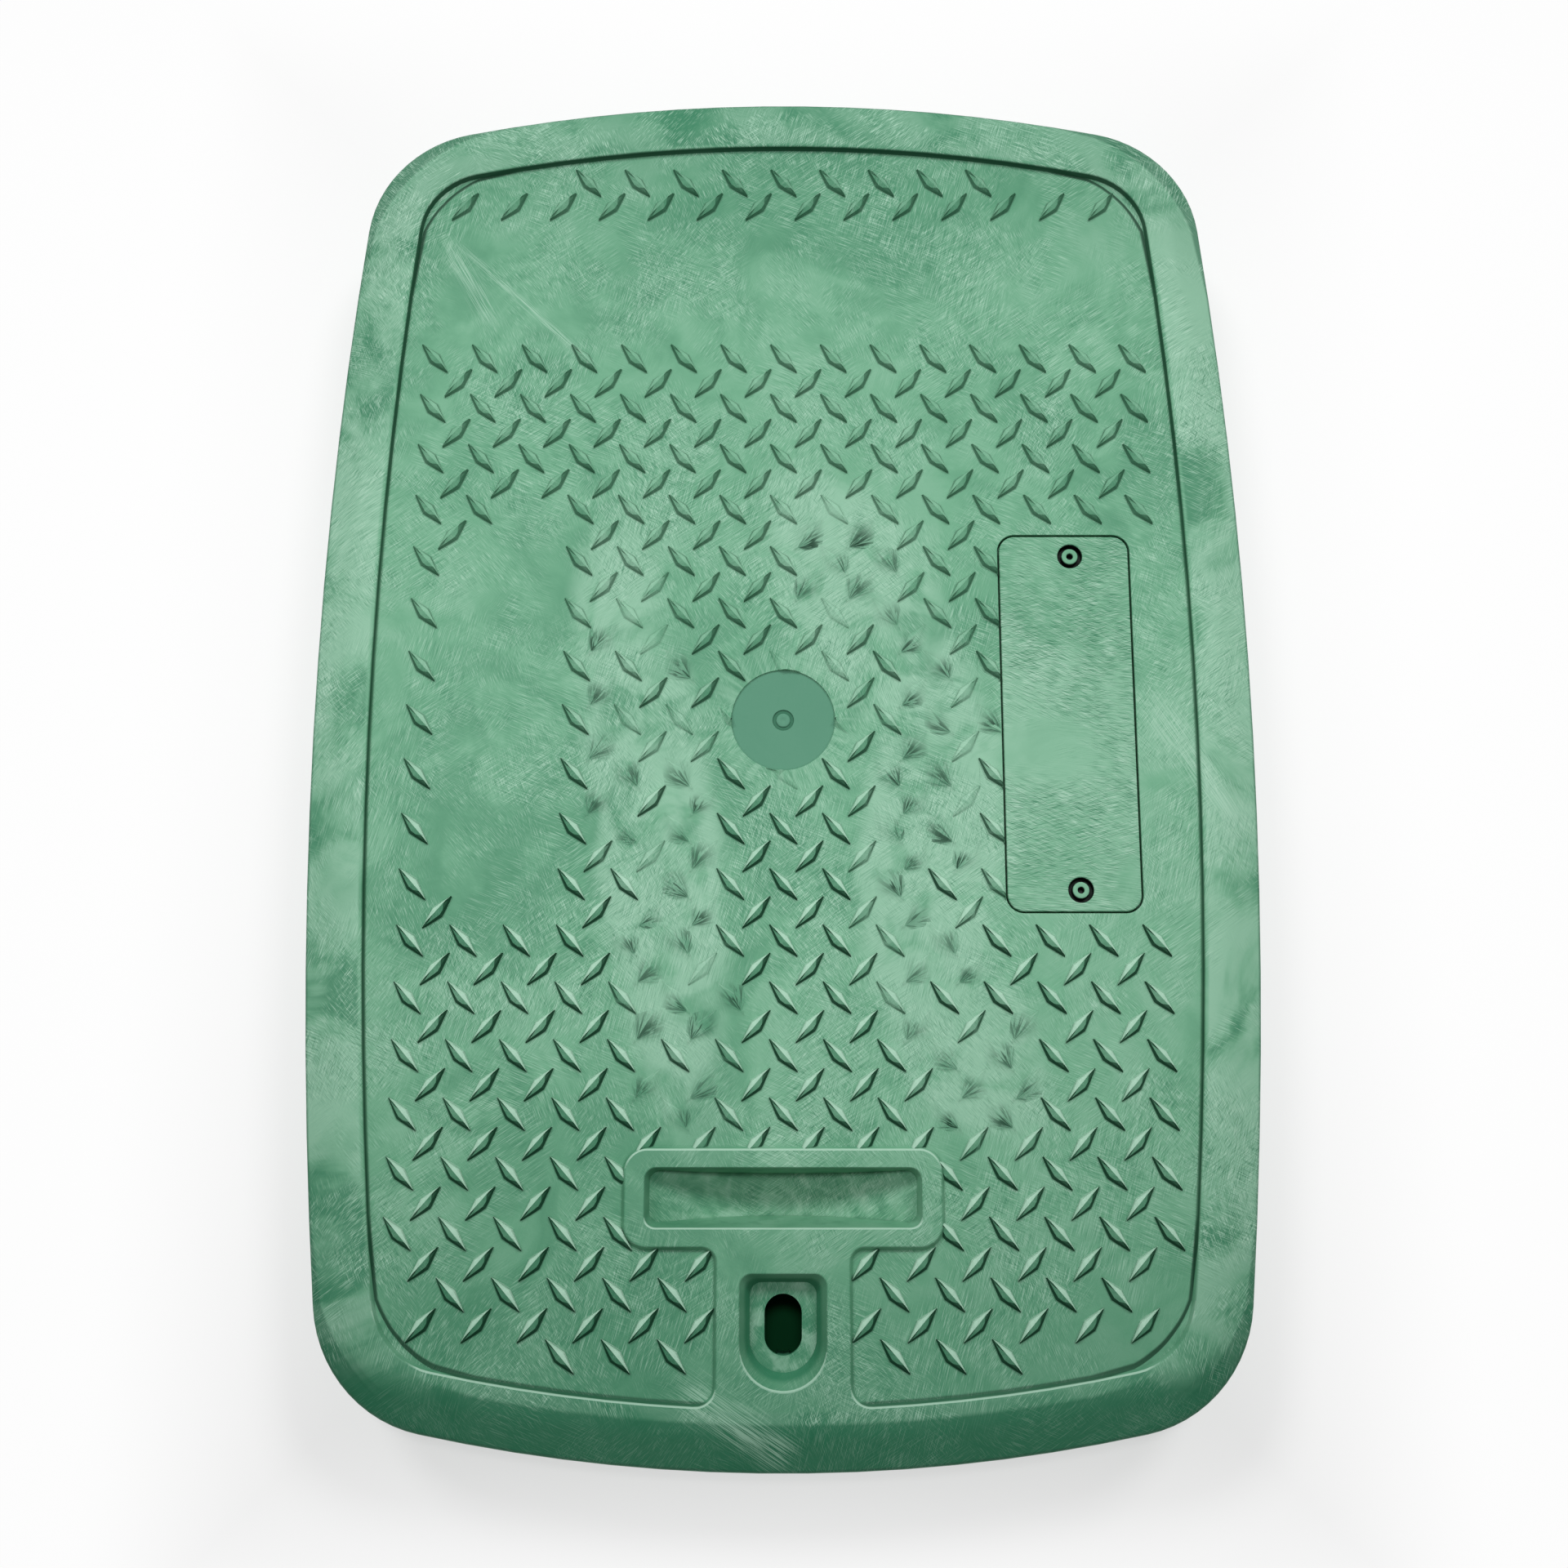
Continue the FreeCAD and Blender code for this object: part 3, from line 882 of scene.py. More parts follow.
@dataclass(frozen=True)
class MouldedGreen:
    """Weathered green polyethylene, clouded with flow marks: the ground of every finish."""

    name: str
    contrast: float
    grain: Noise
    grain_depth: float
    roughness: float = 0.55
    gloss: float = 0.2
    clouds: Noise = Noise(75.0, 4, 0.6)
    flow: Noise = Noise(30.0, 5, 2.2)
    dark: Span = (0.56, 0.36)
    dark_flow: float = 0.4
    light: Span = (0.48, 0.68)
    light_flow: float = 0.55

    def tree(self) -> ShaderTree:
        """Starts the finish's material."""
        return ShaderTree(bpy.data.materials.new(self.name))

    def base(self, ground: Ground) -> Coat:
        """Body colour with wide clouds of deep and pale green and flow marks bent through them.

        Args:
            ground: Where to read the clouds.

        Returns:
            The first coat.
        """
        wide = self.clouds.read(ground.at)
        flow = self.flow.read(ground.at)
        dark = (wide * (1 - self.dark_flow) + flow * self.dark_flow).step(*self.dark)
        light = (wide * (1 - self.light_flow) + flow * self.light_flow).step(*self.light)
        coat = Coat(ground.tree.mix(dark * self.contrast, GREEN.body, GREEN.deep))
        coat.lay(light * self.contrast, GREEN.pale)
        return coat


@dataclass(frozen=True)
class CoverFinish(MouldedGreen):
    """The cover: scratched field, blotched rim, trodden tread with dark tufts, painted shade and highlights,
    and a smooth gate disc.
    """

    name: str = "cover_plastic"
    contrast: float = 0.45
    grain: Noise = Noise(0.9, 2)
    grain_depth: float = 0.05
    zones: CoverZones = CoverZones()
    under: tuple[Layer, ...] = (RimBlotches(), EndShade(), TroddenGround())
    scratches: Scratches = Scratches()
    over: tuple[Layer, ...] = (HollowShadeAndStains(), GateMarks(), EdgeHighlightAndShade(), Tufts(), PaintedShade())
    raised_z: Span = (34.2, 34.8)
    grain_rougher: float = 0.16
    scratch_rougher: float = 0.06
    disc_rougher: float = 0.1
    raised_smoother: float = 0.1

    def paint(self) -> bpy.types.Material:
        """Builds the material.

        Returns:
            The cover's material.
        """
        tree = self.tree()
        ground = self.zones.read(tree)
        coat = self.base(ground)
        for layer in self.under:
            layer.lay(coat, ground)
        scratched = self.scratches.lay(coat, ground)
        for layer in self.over:
            layer.lay(coat, ground)
        grain = self.grain.read(ground.at)
        roughness = self.roughness + (grain - 0.5) * self.grain_rougher + scratched * self.scratch_rougher
        roughness = roughness + ground.disc * self.disc_rougher
        roughness = roughness - ground.z.step(*self.raised_z) * self.raised_smoother
        return tree.plastic(coat.colour, roughness, grain * (1 - ground.disc), self.grain_depth, self.gloss)


@dataclass(frozen=True)
class PlateFinish(MouldedGreen):
    """The marker plate: strokes that run across it, a paler rubbed middle and pin wells painted near-black as
    shade.
    """

    name: str = "plate_plastic"
    contrast: float = 0.4
    grain: Noise = Noise(1.0, 3)
    grain_depth: float = 0.09
    scuffs: Scuffs = Scuffs((-0.12, 0.25, -0.45), Noise(30.0, 2, 0.4), 6.0, 0.28, (0.38, 0.54))
    patches: Noise = Noise(40.0, 4, 1.0)
    patch: Span = (0.48, 0.66)
    middle_y: Span = (38.0, 7.6)
    pale_least: float = 0.1
    patch_paler: float = 0.35
    middle_paler: float = 0.3
    scuff_share: float = 0.5
    patch_scuffs: float = 0.3
    dark_share: float = 0.5
    well_z: Span = (33.9, 33.6)
    well_edge: Span = (4.05, 3.95)
    wells: tuple[tuple[float, float], ...] = ()
    grain_rougher: float = 0.15
    scratch_rougher: float = 0.06
    grain_height: float = 0.4
    scratch_height: float = 0.3

    def paint(self) -> bpy.types.Material:
        """Builds the material.

        Returns:
            The plate's material.
        """
        tree = self.tree()
        ground = Ground.of(tree)
        coat = self.base(ground)
        pale, dark = self.scuffs.strokes(ground)
        patch = self.patches.read(ground.at).step(*self.patch)
        middle = abs(ground.y).step(*self.middle_y)
        coat.lay(self.pale_least + patch * self.patch_paler + middle * self.middle_paler, GREEN.pale)
        coat.lay(pale * (patch * self.patch_scuffs + self.scuff_share), GREEN.chalk_and_highlight)
        coat.lay(dark * self.dark_share, GREEN.deep)
        low = ground.z.step(*self.well_z)
        for well_x, well_y in self.wells:
            reach = (ground.x - well_x).reach(ground.y - well_y)
            # painted shade: the pin wells near-black
            coat.lay(low * reach.step(*self.well_edge), GREEN.well_shade)
        grain = self.grain.read(ground.at)
        roughness = self.roughness + (grain - 0.5) * self.grain_rougher + pale * self.scratch_rougher
        relief = grain * self.grain_height + (pale - dark + 1) * self.scratch_height
        return tree.plastic(coat.colour, roughness, relief, self.grain_depth, self.gloss)


@dataclass(frozen=True)
class PinFinish(MouldedGreen):
    """The push pins: clean green tops, with painted shade in the drive hole and down the shank."""

    name: str = "pin_plastic"
    contrast: float = 0.3
    grain: Noise = Noise(0.8, 3)
    grain_depth: float = 0.03
    roughness: float = 0.47
    grain_rougher: float = 0.1
    shade_z: Span = (33.5, 33.0)

    def paint(self) -> bpy.types.Material:
        """Builds the material.

        Returns:
            The pins' material.
        """
        tree = self.tree()
        ground = Ground.of(tree)
        coat = self.base(ground)
        # painted shade: near-black in the drive hole and down the shank
        coat.lay(ground.z.step(*self.shade_z), GREEN.pin_shade)
        grain = self.grain.read(ground.at)
        roughness = self.roughness + (grain - 0.5) * self.grain_rougher
        return tree.plastic(coat.colour, roughness, grain, self.grain_depth, self.gloss)


# Mesh work


@dataclass
class MergedMesh:
    """A node's loose triangles joined into one closed surface."""

    points: Array
    triangles: Array

    @classmethod
    def of_node(cls, node: bpy.types.Object) -> "MergedMesh":
        """Joins vertices that share a place, to the nearest micrometre.

        Args:
            node: A node of the frame.

        Returns:
            Its points and triangles.
        """
        mesh = node.data
        places = np.empty(len(mesh.vertices) * 3, np.float32)
        mesh.vertices.foreach_get("co", places)
        places = places.reshape(-1, 3)
        corners = np.empty(len(mesh.loops), np.int32)
        mesh.loops.foreach_get("vertex_index", corners)
        keys = np.round(places * MICRONS_PER_METRE).astype(np.int64)
        _, first, joined = np.unique(keys, axis=0, return_index=True, return_inverse=True)
        return cls(places[first].astype(float), joined.reshape(-1)[corners].reshape(-1, 3))

    def to_mesh(self, name: str) -> bpy.types.Mesh:
        """A Blender mesh of these triangles."""
        mesh = bpy.data.meshes.new(name)
        mesh.from_pydata(self.points.tolist(), [], self.triangles.tolist())
        mesh.update()
        return mesh


@dataclass
class EdgeTable:
    """Where a closed mesh folds: for every edge its two ends and the turn between its two faces."""

    ends: Array
    turn: Array

    @classmethod
    def of_mesh(cls, mesh: bpy.types.Mesh, merged: MergedMesh) -> "EdgeTable":
        """Reads the table from a mesh of triangles.

        Each edge has two corners that start it, one in each face. Sorting the corners by edge puts the two
        faces side by side, and the turn is the angle between their normals.

        Args:
            mesh: The mesh made from the merged points.
            merged: Those points and triangles.

        Returns:
            The table, in millimetres and degrees.
        """
        edge_of_corner = np.empty(len(mesh.loops), np.int32)
        mesh.loops.foreach_get("edge_index", edge_of_corner)
        ends = np.empty(len(mesh.edges) * 2, np.int32)
        mesh.edges.foreach_get("vertices", ends)
        faces = (np.argsort(edge_of_corner, kind="stable") // 3).reshape(-1, 2)
        a, b, c = (merged.points[merged.triangles[:, corner]] for corner in range(3))
        normals = np.cross(b - a, c - a)
        normals /= np.linalg.norm(normals, axis=1, keepdims=True)
        cosine = (normals[faces[:, 0]] * normals[faces[:, 1]]).sum(axis=1)
        return cls(merged.points[ends.reshape(-1, 2)] / MM, np.degrees(np.arccos(np.clip(cosine, -1, 1))))


def ring_mesh(name: str, grid: Array) -> bpy.types.Mesh:
    """Mounds made of rings: faces between the rings of each mound and a cap on its last ring.

    Args:
        name: The mesh's name.
        grid: Points in millimetres by mound, ring from the foot inwards, and turn.

    Returns:
        The mesh, in metres.
    """
    mounds, rings, around = grid.shape[:3]
    ring, spoke = np.meshgrid(np.arange(rings - 1) * around, np.arange(around), indexing="ij")
    after = (spoke + 1) % around
    corners = [ring + spoke, ring + after, ring + around + after, ring + around + spoke]
    start = np.arange(mounds)[:, None, None] * (rings * around)
    walls = (np.stack(corners, axis=2).reshape(-1, 4)[None] + start).reshape(-1, 4)
    caps = (np.arange(around) + (rings - 1) * around)[None] + start[:, 0]
    mesh = bpy.data.meshes.new(name)
    mesh.from_pydata((grid.reshape(-1, 3) * MM).tolist(), [], walls.tolist() + caps.tolist())
    mesh.update()
    return mesh


# Pieces; sizes in millimetres, angles in degrees


@dataclass
class Piece:
    """A piece that rides on the cover's one body."""

    name: str
    slot: str

    def place(self, mesh: bpy.types.Mesh) -> bpy.types.Object:
        """Puts a mesh into the scene as this piece."""
        piece = bpy.data.objects.new(self.name, mesh)
        bpy.context.scene.collection.objects.link(piece)
        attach(piece, "root")
        return piece

    def dress(self, piece: bpy.types.Object, material: bpy.types.Material) -> None:
        """Gives the piece its finish."""
        piece.data.materials.append(material)


@dataclass
class RoundedPiece(Piece):
    """A copy of a rigid node whose sharp edges are rounded by a width of their own."""

    node: str
    sharp_turn: float = 17.0
    widest: float = 3.0
    segments: int = 2
    slack: float = 0.1

    def widths(self, table: EdgeTable) -> Array:
        """Rounding width of each edge.

        Args:
            table: The piece's edges.

        Returns:
            One width per edge, 0 where it stays sharp.
        """
        return np.zeros(len(table.turn))

    def build(self) -> bpy.types.Object:
        """Makes the rounded copy and puts it in the node's place.

        Returns:
            The new piece.
        """
        merged = MergedMesh.of_node(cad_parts[self.node])
        self.settle(merged)
        mesh = merged.to_mesh(self.name)
        table = EdgeTable.of_mesh(mesh, merged)
        width = np.where(table.turn > self.sharp_turn, self.widths(table), 0.0)
        weight = mesh.attributes.new("bevel_weight_edge", "FLOAT", "EDGE")
        weight.data.foreach_set("value", (width / self.widest).astype(np.float32))
        crisp = mesh.attributes.new("sharp_edge", "BOOLEAN", "EDGE")
        crisp.data.foreach_set("value", (table.turn > 2 * self.sharp_turn) & (width == 0))
        mesh.shade_smooth()
        self.mark(mesh, merged)
        piece = self.place(mesh)
        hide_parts(self.node)
        rounding = piece.modifiers.new("edge_rounding", "BEVEL")
        rounding.limit_method = "WEIGHT"
        rounding.width = self.widest * MM
        rounding.segments = self.segments
        rounding.use_clamp_overlap = False
        rounding.loop_slide = False
        facing = piece.modifiers.new("face_normals", "WEIGHTED_NORMAL")
        facing.keep_sharp = True
        return piece

    def settle(self, merged: MergedMesh) -> None:
        """Lowers what another piece stands for; a plain piece has nothing."""

    def mark(self, mesh: bpy.types.Mesh, merged: MergedMesh) -> None:
        """Adds what the finish reads from the mesh; a plain piece has nothing."""


@dataclass
class CoverShell(RoundedPiece):
    """The moulded cover with its edges rounded as they come out of the mould."""

    name: str = "cover_shell"
    slot: str = "cover_plastic"
    node: str = "cover"
    rim_z: float = 36.0
    edge_z: float = 31.5
    seat_z: float = 24.0
    field_z: float = 34.0
    field_drop: float = 0.6
    crease_turn: float = 30.0
    crease_width: float = 3.0
    edge_width: float = 1.2
    seat_width: float = 0.4
    lip_width: float = 0.4
    mark_width: float = 0.2
    peak_left: float = 0.02
    side_bow: float = 1630.0
    end_bow: float = 525.0
    corner: float = 41.0

    def widths(self, table: EdgeTable) -> Array:
        """Wide on the rim's crease and edge, narrower on lips, slight on the tread marks."""
        low = table.ends[:, :, 2].min(axis=1)
        high = table.ends[:, :, 2].max(axis=1)
        width = np.zeros(len(low))
        width[(low > self.field_z - self.field_drop) & (high < self.rim_z - self.slack)] = self.mark_width
        for level, level_width in ((self.seat_z, self.seat_width), (self.edge_z, self.edge_width)):
            width[(abs(low - level) < self.slack) & (abs(high - level) < self.slack)] = level_width
        at_rim = low > self.rim_z - self.slack
        width[at_rim] = self.lip_width
        width[at_rim & (table.turn < self.crease_turn)] = self.crease_width
        return width

    def settle(self, merged: MergedMesh) -> None:
        """Lowers the peaks of the tread marks, which the tread makes in full."""
        peaks, _, _ = TreadMarks().spots(merged)
        merged.points[peaks, 2] = (self.field_z + self.peak_left) * MM

    def mark(self, mesh: bpy.types.Mesh, merged: MergedMesh) -> None:
        """Writes each point's distance in from the outline.

        The outline is bowed sides and ends with round corners. The distance to a side is the bow's radius
        less the way to its centre, likewise for an end, and in a corner it is the corner's radius less the
        way to its centre.

        Args:
            mesh: The cover's mesh.
            merged: Its points.
        """
        _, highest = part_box("cover")
        half = np.array([highest[0], highest[1]]) / MM
        spot = np.abs(merged.points[:, :2]) / MM
        side = self.side_bow - np.hypot(spot[:, 0] - half[0] + self.side_bow, spot[:, 1])
        end = self.end_bow - np.hypot(spot[:, 0], spot[:, 1] - half[1] + self.end_bow)
        cut = np.maximum(self.corner - np.stack([side, end]), 0.0)
        inset = np.minimum(np.minimum(side, end), self.corner - np.hypot(cut[0], cut[1]))
        attribute = mesh.attributes.new("inset", "FLOAT", "POINT")
        attribute.data.foreach_set("value", inset.astype(np.float32))


@dataclass
class TreadMarks(Piece):
    """The raised tread: each mark is a steep-sided lozenge with a low hipped top."""

    name: str = "tread_marks"
    slot: str = "cover_plastic"
    half_length: float = 6.6
    half_width: float = 2.05
    ridge: float = 4.4
    ridge_width: float = 0.02
    field_z: float = 34.0
    peak_z: float = 35.6
    peak_slack: float = 0.005
    apron: float = 0.5
    apron_rise: float = 0.05
    wall_rise: float = 0.9
    wall_draft: float = 0.65
    tip_draft: float = 0.45
    ridge_shift: float = 0.35
    shift_of_ring: tuple[float, ...] = (0.0, 0.0, 0.7, 1.0)
    roundness: float = 1.06
    around: int = 12
    disc_margin: float = 0.15
    plate_gap: float = 0.7
    bands: tuple[Oval, ...] = TRODDEN
    band_margin: float = 0.45
    fade_gain: float = 1.4
    fade_drop: float = 0.35
    fade_most: float = 0.75
    disc_wear: float = 0.85
    worn_most: float = 0.8
    torn_most: float = 0.84
    torn_wear: float = 0.8
    tuft_share: float = 0.62
    tuft_reach: float = 3.0
    # painted shadow round each mark's foot, carried by the apron ring: its gain, rings and outlines
    painted_shadow_gain: float = 1.6
    painted_shadow_of_ring: tuple[float, ...] = (0.0, 1.0, 0.0, 0.0)
    faded_outline: float = 0.4
    far_outline: float = 0.85
    far_y: Span = (-60.0, 60.0)
    inset: float = 60.0
    seed: int = 11

    def spots(self, merged: MergedMesh) -> tuple[Array, Array, Array]:
        """Finds every mark from its peak in the cover.

        Args:
            merged: The cover's points and triangles.

        Returns:
            The peaks' indices, their places in plan, and the directions of the long axes towards the far end.
        """
        points = merged.points / MM
        clear = np.hypot(points[:, 0], points[:, 1] - GATE.y) > GATE.radius + self.disc_margin
        peaks = (np.abs(points[:, 2] - self.peak_z) < self.peak_slack) & clear
        around = np.concatenate([np.roll(merged.triangles, -turn, axis=1) for turn in range(3)])
        around = around[peaks[around[:, 0]]]
        legs = points[around[:, 1], :2] - points[around[:, 0], :2]
        order = np.lexsort((-np.hypot(legs[:, 0], legs[:, 1]), around[:, 0]))
        peak, first = np.unique(around[order, 0], return_index=True)
        tip = legs[order[first]] * np.where(legs[order[first], 1:] < 0, -1.0, 1.0)
        return peak, points[peak, :2], np.arctan2(tip[:, 1], tip[:, 0])

    def wear(self, centre: Array) -> tuple[Array, Array, Array]:
        """How far each mark is rubbed down: most inside the trodden bands, uneven from mark to mark.

        Args:
            centre: The marks' places in plan.

        Returns:
            The wear of each mark, 0 to 1; 1 for a mark that is torn away and leaves a tuft; and a chance.
        """
        depth = np.max([band.depth(centre[:, 0], centre[:, 1]) for band in self.bands], axis=0)
        inside = np.clip(depth + self.band_margin, 0.0, 1.0)
        chance = np.random.default_rng(self.seed).random((3, len(centre)))
        by_disc = np.hypot(centre[:, 0], centre[:, 1] - GATE.y) < GATE.radius + self.half_length
        torn = ((chance[1] < self.tuft_share * inside) & ~by_disc).astype(float)
        faded = inside * np.clip(chance[0] * self.fade_gain - self.fade_drop, 0.0, self.fade_most)
        faded = np.maximum(faded, self.disc_wear * by_disc)
        return np.maximum(faded, torn * self.torn_wear), torn, chance[2]

    def rings(self, lean: Array, torn: Array) -> tuple[Array, Array]:
        """Each mark's four rings in its own plane: apron, wall's foot, wall's top and ridge.

        A ring is the curve |u/a|^p + |v/b|^p = 1, close to a lozenge, with the half sizes a and b of its
        level. Where a mark is torn away its apron is wider and carries the tuft.

        Args:
            lean: The directions of the long axes.
            torn: 1 for each mark that is torn away.

        Returns:
            Places along and across the long axis, by mark, ring and turn.
        """
        turn = np.linspace(0.0, 2 * math.pi, self.around, endpoint=False)
        waves = np.stack([np.cos(turn), np.sin(turn)])
        unit_u, unit_v = np.sign(waves) * np.abs(waves) ** (2 / self.roundness)
        inward = np.tile([-self.apron, 0.0, self.wall_draft, self.half_width], (len(lean), 1))
        inward[:, 0] -= self.tuft_reach * torn
        length = self.half_length - inward * self.tip_draft
        length[:, -1] = self.ridge
        width = np.maximum(self.half_width - inward, self.ridge_width)
        side = np.sign(np.cos(lean))[:, None, None]
        shift = np.array(self.shift_of_ring)[:, None] * self.ridge_shift * side
        return length[:, :, None] * unit_u, width[:, :, None] * unit_v + shift

    def levels(self, worn: Array, torn: Array) -> Array:
        """Each ring's height, by mark and ring; a worn mark is lower."""
        left = 1 - np.maximum(self.worn_most * worn, self.torn_most * torn)[:, None]
        rise = np.array([0.0, self.apron_rise, self.wall_rise, self.peak_z - self.field_z])
        return self.field_z + np.where(rise > self.apron_rise, rise * left, rise)

    def trim(self, grid: Array, centre: Array) -> None:
        """Holds the marks off the marker plate's pocket and the gate disc, in place."""
        lowest, highest = (np.array(corner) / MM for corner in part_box("marker_plate"))
        beside = (centre[:, 0] < lowest[0]) & (centre[:, 1] > lowest[1]) & (centre[:, 1] < highest[1])
        grid[beside, :, :, 0] = np.minimum(grid[beside, :, :, 0], lowest[0] - self.plate_gap)
        rise = grid[..., 1] - GATE.y
        push = np.maximum(1.0, (GATE.radius + self.disc_margin) / np.hypot(grid[..., 0], rise))
        grid[..., 0] *= push
        grid[..., 1] = GATE.y + rise * push

    def painted_shadow(self, facing: Array, y: Array, sound: Array, torn: Array) -> Array:
        """Painted shadow at the foot of each mark: on its near side, and all round at the far end or where it
        fades.

        Args:
            facing: How far each point faces the far end.
            y: The marks' places along the cover.
            sound: What is left of each mark.
            torn: 1 for each mark that is torn away.

        Returns:
            The share of painted shadow at each point.
        """
        far = np.clip((y - self.far_y[0]) / (self.far_y[1] - self.far_y[0]), 0.0, 1.0)
        outline = np.maximum(self.faded_outline * (1 - sound) * (1 - torn), self.far_outline * far * sound)
        near_side = np.clip(-facing * self.painted_shadow_gain, 0.0, 1.0) * sound
        return np.maximum(near_side, outline) * np.array(self.painted_shadow_of_ring)[:, None]

    def build(self, merged: MergedMesh) -> bpy.types.Object:
        """Makes all marks as one mesh: the rings of each, turned to its lean and set in its place.

        Args:
            merged: The cover's points and triangles.

        Returns:
            The tread.
        """
        _, centre, lean = self.spots(merged)
        worn, torn, chance = self.wear(centre)
        u, v = self.rings(lean, torn)
        x, y, cosine, sine, sound, gone, chance = (
            part[:, None, None]
            for part in (centre[:, 0], centre[:, 1], np.cos(lean), np.sin(lean), 1 - worn, torn, chance)
        )
        z = np.broadcast_to(self.levels(worn, torn)[:, :, None], u.shape)
        grid = np.stack([x + u * cosine - v * sine, y + u * sine + v * cosine, z], axis=3)
        self.trim(grid, centre)
        mesh = ring_mesh(self.name, grid)
        out_u, out_v = u / self.half_length**2, v / self.half_width**2
        facing = (out_u * sine + out_v * cosine) / np.hypot(out_u, out_v)
        # the second value of the tread attribute is the painted shadow round each mark
        self.note(mesh, "tread", sound, self.painted_shadow(facing, y, sound, gone), gone)
        self.note(mesh, "tuft", u, v, chance)
        inset = mesh.attributes.new("inset", "FLOAT", "POINT")
        inset.data.foreach_set("value", np.full(u.size, self.inset, np.float32))
        return self.place(mesh)

    def note(self, mesh: bpy.types.Mesh, name: str, *parts: Array) -> None:
        """Writes three values per point, which the finish reads."""
        values = np.stack(np.broadcast_arrays(*parts), axis=-1).astype(np.float32)
        attribute = mesh.attributes.new(name, "FLOAT_VECTOR", "POINT")
        attribute.data.foreach_set("vector", values.ravel())


@dataclass
class HeadedPiece(RoundedPiece):
    """A small piece that is rounded only along the edges of its top."""

    top_z: float = 0.0

    def widths(self, table: EdgeTable) -> Array:
        """The top edges only."""
        return np.where(table.ends[:, :, 2].min(axis=1) > self.top_z - self.slack, self.widest, 0.0)


@dataclass
class MarkerPlate(HeadedPiece):
    """The plate let into the field, with softened top edges."""

    name: str = "marker_plate_shell"
    slot: str = "plate_plastic"
    node: str = "marker_plate"
    widest: float = 0.4
    top_z: float = 34.0


@dataclass
class PlatePins(HeadedPiece):
    """The two push pins, rounded at the head."""

    name: str = "plate_pin_heads"
    slot: str = "pin_plastic"
    node: str = "plate_pins"
    widest: float = 0.25
    top_z: float = 33.8

    def centres(self) -> tuple[tuple[float, float], ...]:
        """The middle of each pin in plan."""
        lowest, highest = (np.array(corner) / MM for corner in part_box("plate_pins"))
        radius = (highest[0] - lowest[0]) / 2
        x = float(lowest[0] + radius)
        return ((x, float(lowest[1] + radius)), (x, float(highest[1] - radius)))


@dataclass
class GateNub(Piece):
    """The stub left in the gate well: a turned profile with a small dimple on top."""

    name: str = "gate_nub"
    slot: str = "cover_plastic"
    floor_z: float = 33.1
    height: float = 0.42
    radius: float = 2.3
    fall_power: int = 12
    dimple: float = 0.16
    dimple_share: float = 0.55
    eye: float = 1e-3
    around: int = 48
    rings: int = 24

    def build(self) -> bpy.types.Object:
        """Turns the profile.

        Distance from the middle runs from the radius to 0. The height is a flat top that falls off as a high
        power of the share of the radius, less a dimple shaped as one half wave over the inner part.

        Returns:
            The nub.
        """
        share = np.linspace(1.0, 0.0, self.rings)[:, None]
        dip = np.cos(np.clip(share / self.dimple_share, 0, 1) * math.pi) * 0.5 + 0.5
        rise = self.height * (1 - share**self.fall_power) - self.dimple * dip
        angle = np.linspace(0.0, 2 * math.pi, self.around, endpoint=False)
        reach = np.maximum(share, self.eye) * self.radius
        z = np.broadcast_to(self.floor_z + rise, (self.rings, self.around))
        grid = np.stack([reach * np.cos(angle), GATE.y + reach * np.sin(angle), z], axis=2)
        mesh = ring_mesh(self.name, grid[None])
        mesh.shade_smooth()
        return self.place(mesh)


# Stage


class LampKind(Enum):
    """The lamps the studio uses."""

    SUN = "SUN"
    SPOT = "SPOT"


@dataclass(frozen=True)
class Lamp:
    """One studio lamp: a sun has an angular size, a spot a round face, a lit circle and a soft edge."""

    name: str
    kind: LampKind
    strength: float
    place: tuple[float, float, float]
    target: tuple[float, float, float]
    size: float
    reach: float = 0.0
    blend: float = 0.0

    def hang(self) -> None:
        """Puts the lamp up and turns it to its target."""
        light = bpy.data.lights.new(self.name, self.kind.value)
        light.energy = self.strength
        if self.kind is LampKind.SUN:
            light.angle = self.size
        else:
            light.shadow_soft_size = self.size / 2
            light.spot_size = 2 * math.atan(self.reach / math.dist(self.place, self.target))
            light.spot_blend = self.blend
        lamp = bpy.data.objects.new(self.name, light)
        lamp.location = self.place
        lamp.rotation_euler = (Vector(self.target) - Vector(self.place)).to_track_quat("-Z", "Y").to_euler()
        bpy.context.scene.collection.objects.link(lamp)


